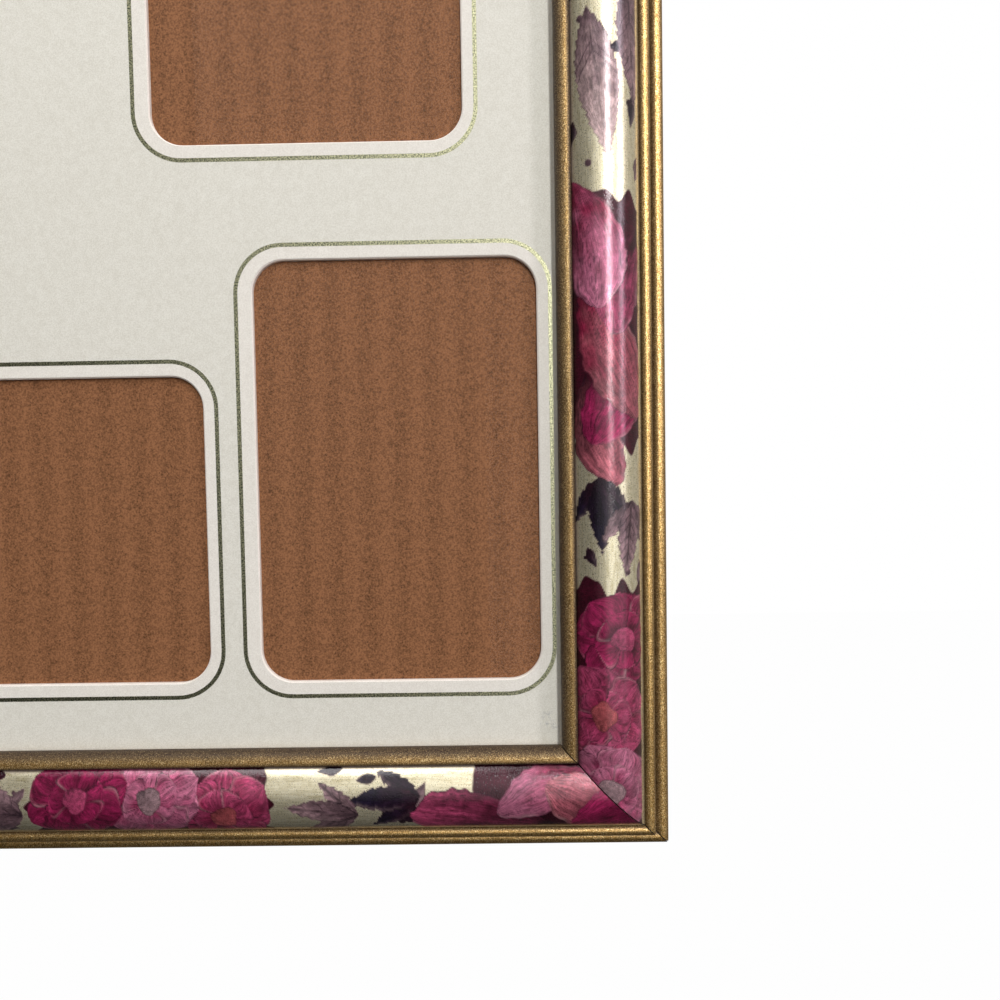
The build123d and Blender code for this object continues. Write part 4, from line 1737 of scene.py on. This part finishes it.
@dataclass(frozen=True)
class Card:
    """A dark studio card that only reflections and light see, in metres."""

    name: str
    centre: tuple[float, float, float]
    size: tuple[float, float]
    faces: tuple[float, float, float]
    shade: str
    fade: tuple[float, float] | None = None

    def build(self) -> None:
        """Makes the card, which the camera doesn't see and which thins out between its fade heights."""
        bm = bmesh.new()
        bmesh.ops.create_grid(bm, x_segments=1, y_segments=1, size=0.5)
        bmesh.ops.scale(bm, vec=(*self.size, 1), verts=bm.verts[:])
        turned = Vector(self.faces).to_track_quat("Z", "Y").to_matrix().to_4x4()
        bmesh.ops.transform(bm, matrix=Matrix.Translation(self.centre) @ turned, verts=bm.verts[:])
        mat, tree, shader = new_finish(self.name)
        feed(shader, {"Base Color": linear(self.shade), "Roughness": 0.9})
        if self.fade:
            rise = add(tree, "SeparateXYZ", {0: add(tree, "TexCoord").outputs["Object"]}).outputs["Z"]
            solid = {0: rise, 1: self.fade[0], 2: self.fade[1], 3: 1.0, 4: 0.0}
            feed(shader, {"Alpha": add(tree, "MapRange", solid)})
        card = make_object(self.name, bm, [mat])
        card.visible_camera = False
        card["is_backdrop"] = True


@dataclass
class Studio:
    """White room with the frame hung at eye height over a pale floor, dark cards and soft lamps."""

    hang_height: float = 1.3
    floor_size: float = 14.0
    white_share: float = 0.985
    room_level: float = 0.4
    cards: tuple[Card, ...] = (
        Card("card_left", (-0.64, -0.82, 0.25), (1.75, 2.3), (1.0, 0.0, 0.0), "3a3a3c"),
        Card("card_right", (1.1, 0.2, 0.2), (1.8, 2.2), (-1.0, -0.1, 0.0), "d6d2ca"),
        Card("card_front", (-0.75, -2.5, -0.4), (1.6, 2.8), (0.15, 1.0, 0.0), "525254", (-0.9, 0.9)),
        Card("card_high", (0.1, -0.5, 1.15), (2.4, 1.2), (0.0, 0.0, -1.0), "5a5a5c"),
        Card("card_low", (0.1, -0.1, -0.75), (2.6, 2.9), (0.0, 0.0, 1.0), "1c1c1e"),
    )
    lamps: tuple[Lamp, ...] = (
        Lamp("window_strip", 17, 24, 2.2, 0.25, 1.7, 23.5),
        Lamp("side_strip", 57, 20, 1.5, 0.42, 1.0, 9.5, "eeeaf6"),
        Lamp("left_sky", -38, 58, 0.8, 0.5, 0.35, 5.0),
        Lamp("back_fill", 205, 35, 1.6, 1.0, 1.0, 2.8),
    )

    def floor(self, lowest: float) -> None:
        """Makes the floor; it shows white to the camera and keeps the shadow.

        Args:
            lowest: The frame's lowest point.
        """
        bm = bmesh.new()
        bmesh.ops.create_grid(bm, x_segments=1, y_segments=1, size=self.floor_size / 2)
        bmesh.ops.translate(bm, vec=(0, 0, lowest - self.hang_height), verts=bm.verts[:])
        mat, tree, shader = new_finish("pale_floor")
        tree.nodes.remove(shader)
        paper = add(tree, "BsdfDiffuse", {"Color": linear("f4f4f2")})
        white = add(tree, "Emission", {"Color": linear("ffffff"), "Strength": 1.0})
        share = add(tree, "Math", {0: self.seen(tree), 1: self.white_share}, operation="MULTIPLY")
        mix = add(tree, "MixShader", {0: share, 1: paper, 2: white})
        feed(tree.nodes["Material Output"], {"Surface": mix})
        make_object("floor", bm, [mat])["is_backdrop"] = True

    def seen(self, tree: bpy.types.NodeTree) -> bpy.types.Node:
        """Picks out the rays that see the background: the camera's, a mirror's and those through glass.

        Args:
            tree: The node tree that gets the nodes.

        Returns:
            The node that is one for such rays.
        """
        rays = add(tree, "LightPath").outputs
        seen = add(tree, "Math", {0: rays["Is Camera Ray"], 1: rays["Is Glossy Ray"]}, operation="MAXIMUM")
        return add(tree, "Math", {0: seen, 1: rays["Is Transmission Ray"]}, operation="MAXIMUM")

    def build(self, lowest: float) -> None:
        """Builds the studio round the frame.

        Args:
            lowest: The frame's lowest point.
        """
        self.floor(lowest)
        world = bpy.data.worlds.new("studio_white")
        bpy.context.scene.world = world
        world.use_nodes = True
        tree = world.node_tree
        strength = add(tree, "MapRange", {0: self.seen(tree), 3: self.room_level, 4: 1.0})
        feed(tree.nodes["Background"], {"Strength": strength, "Color": linear("ffffff")})
        for part in self.cards + self.lamps:
            part.build()
        bpy.context.scene.view_settings.view_transform = "Standard"


def main() -> None:
    """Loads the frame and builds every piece."""
    logging.basicConfig(level=logging.INFO, format="%(message)s")
    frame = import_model()
    cad_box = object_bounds()
    PhotoCamera().build()
    Moulding().build()
    CollageMat().build()
    GlassPane().build()
    BackFittings(frame["nodes"]).dress()
    Studio().build(cad_box[0].z)


if __name__ == "__main__":
    main()
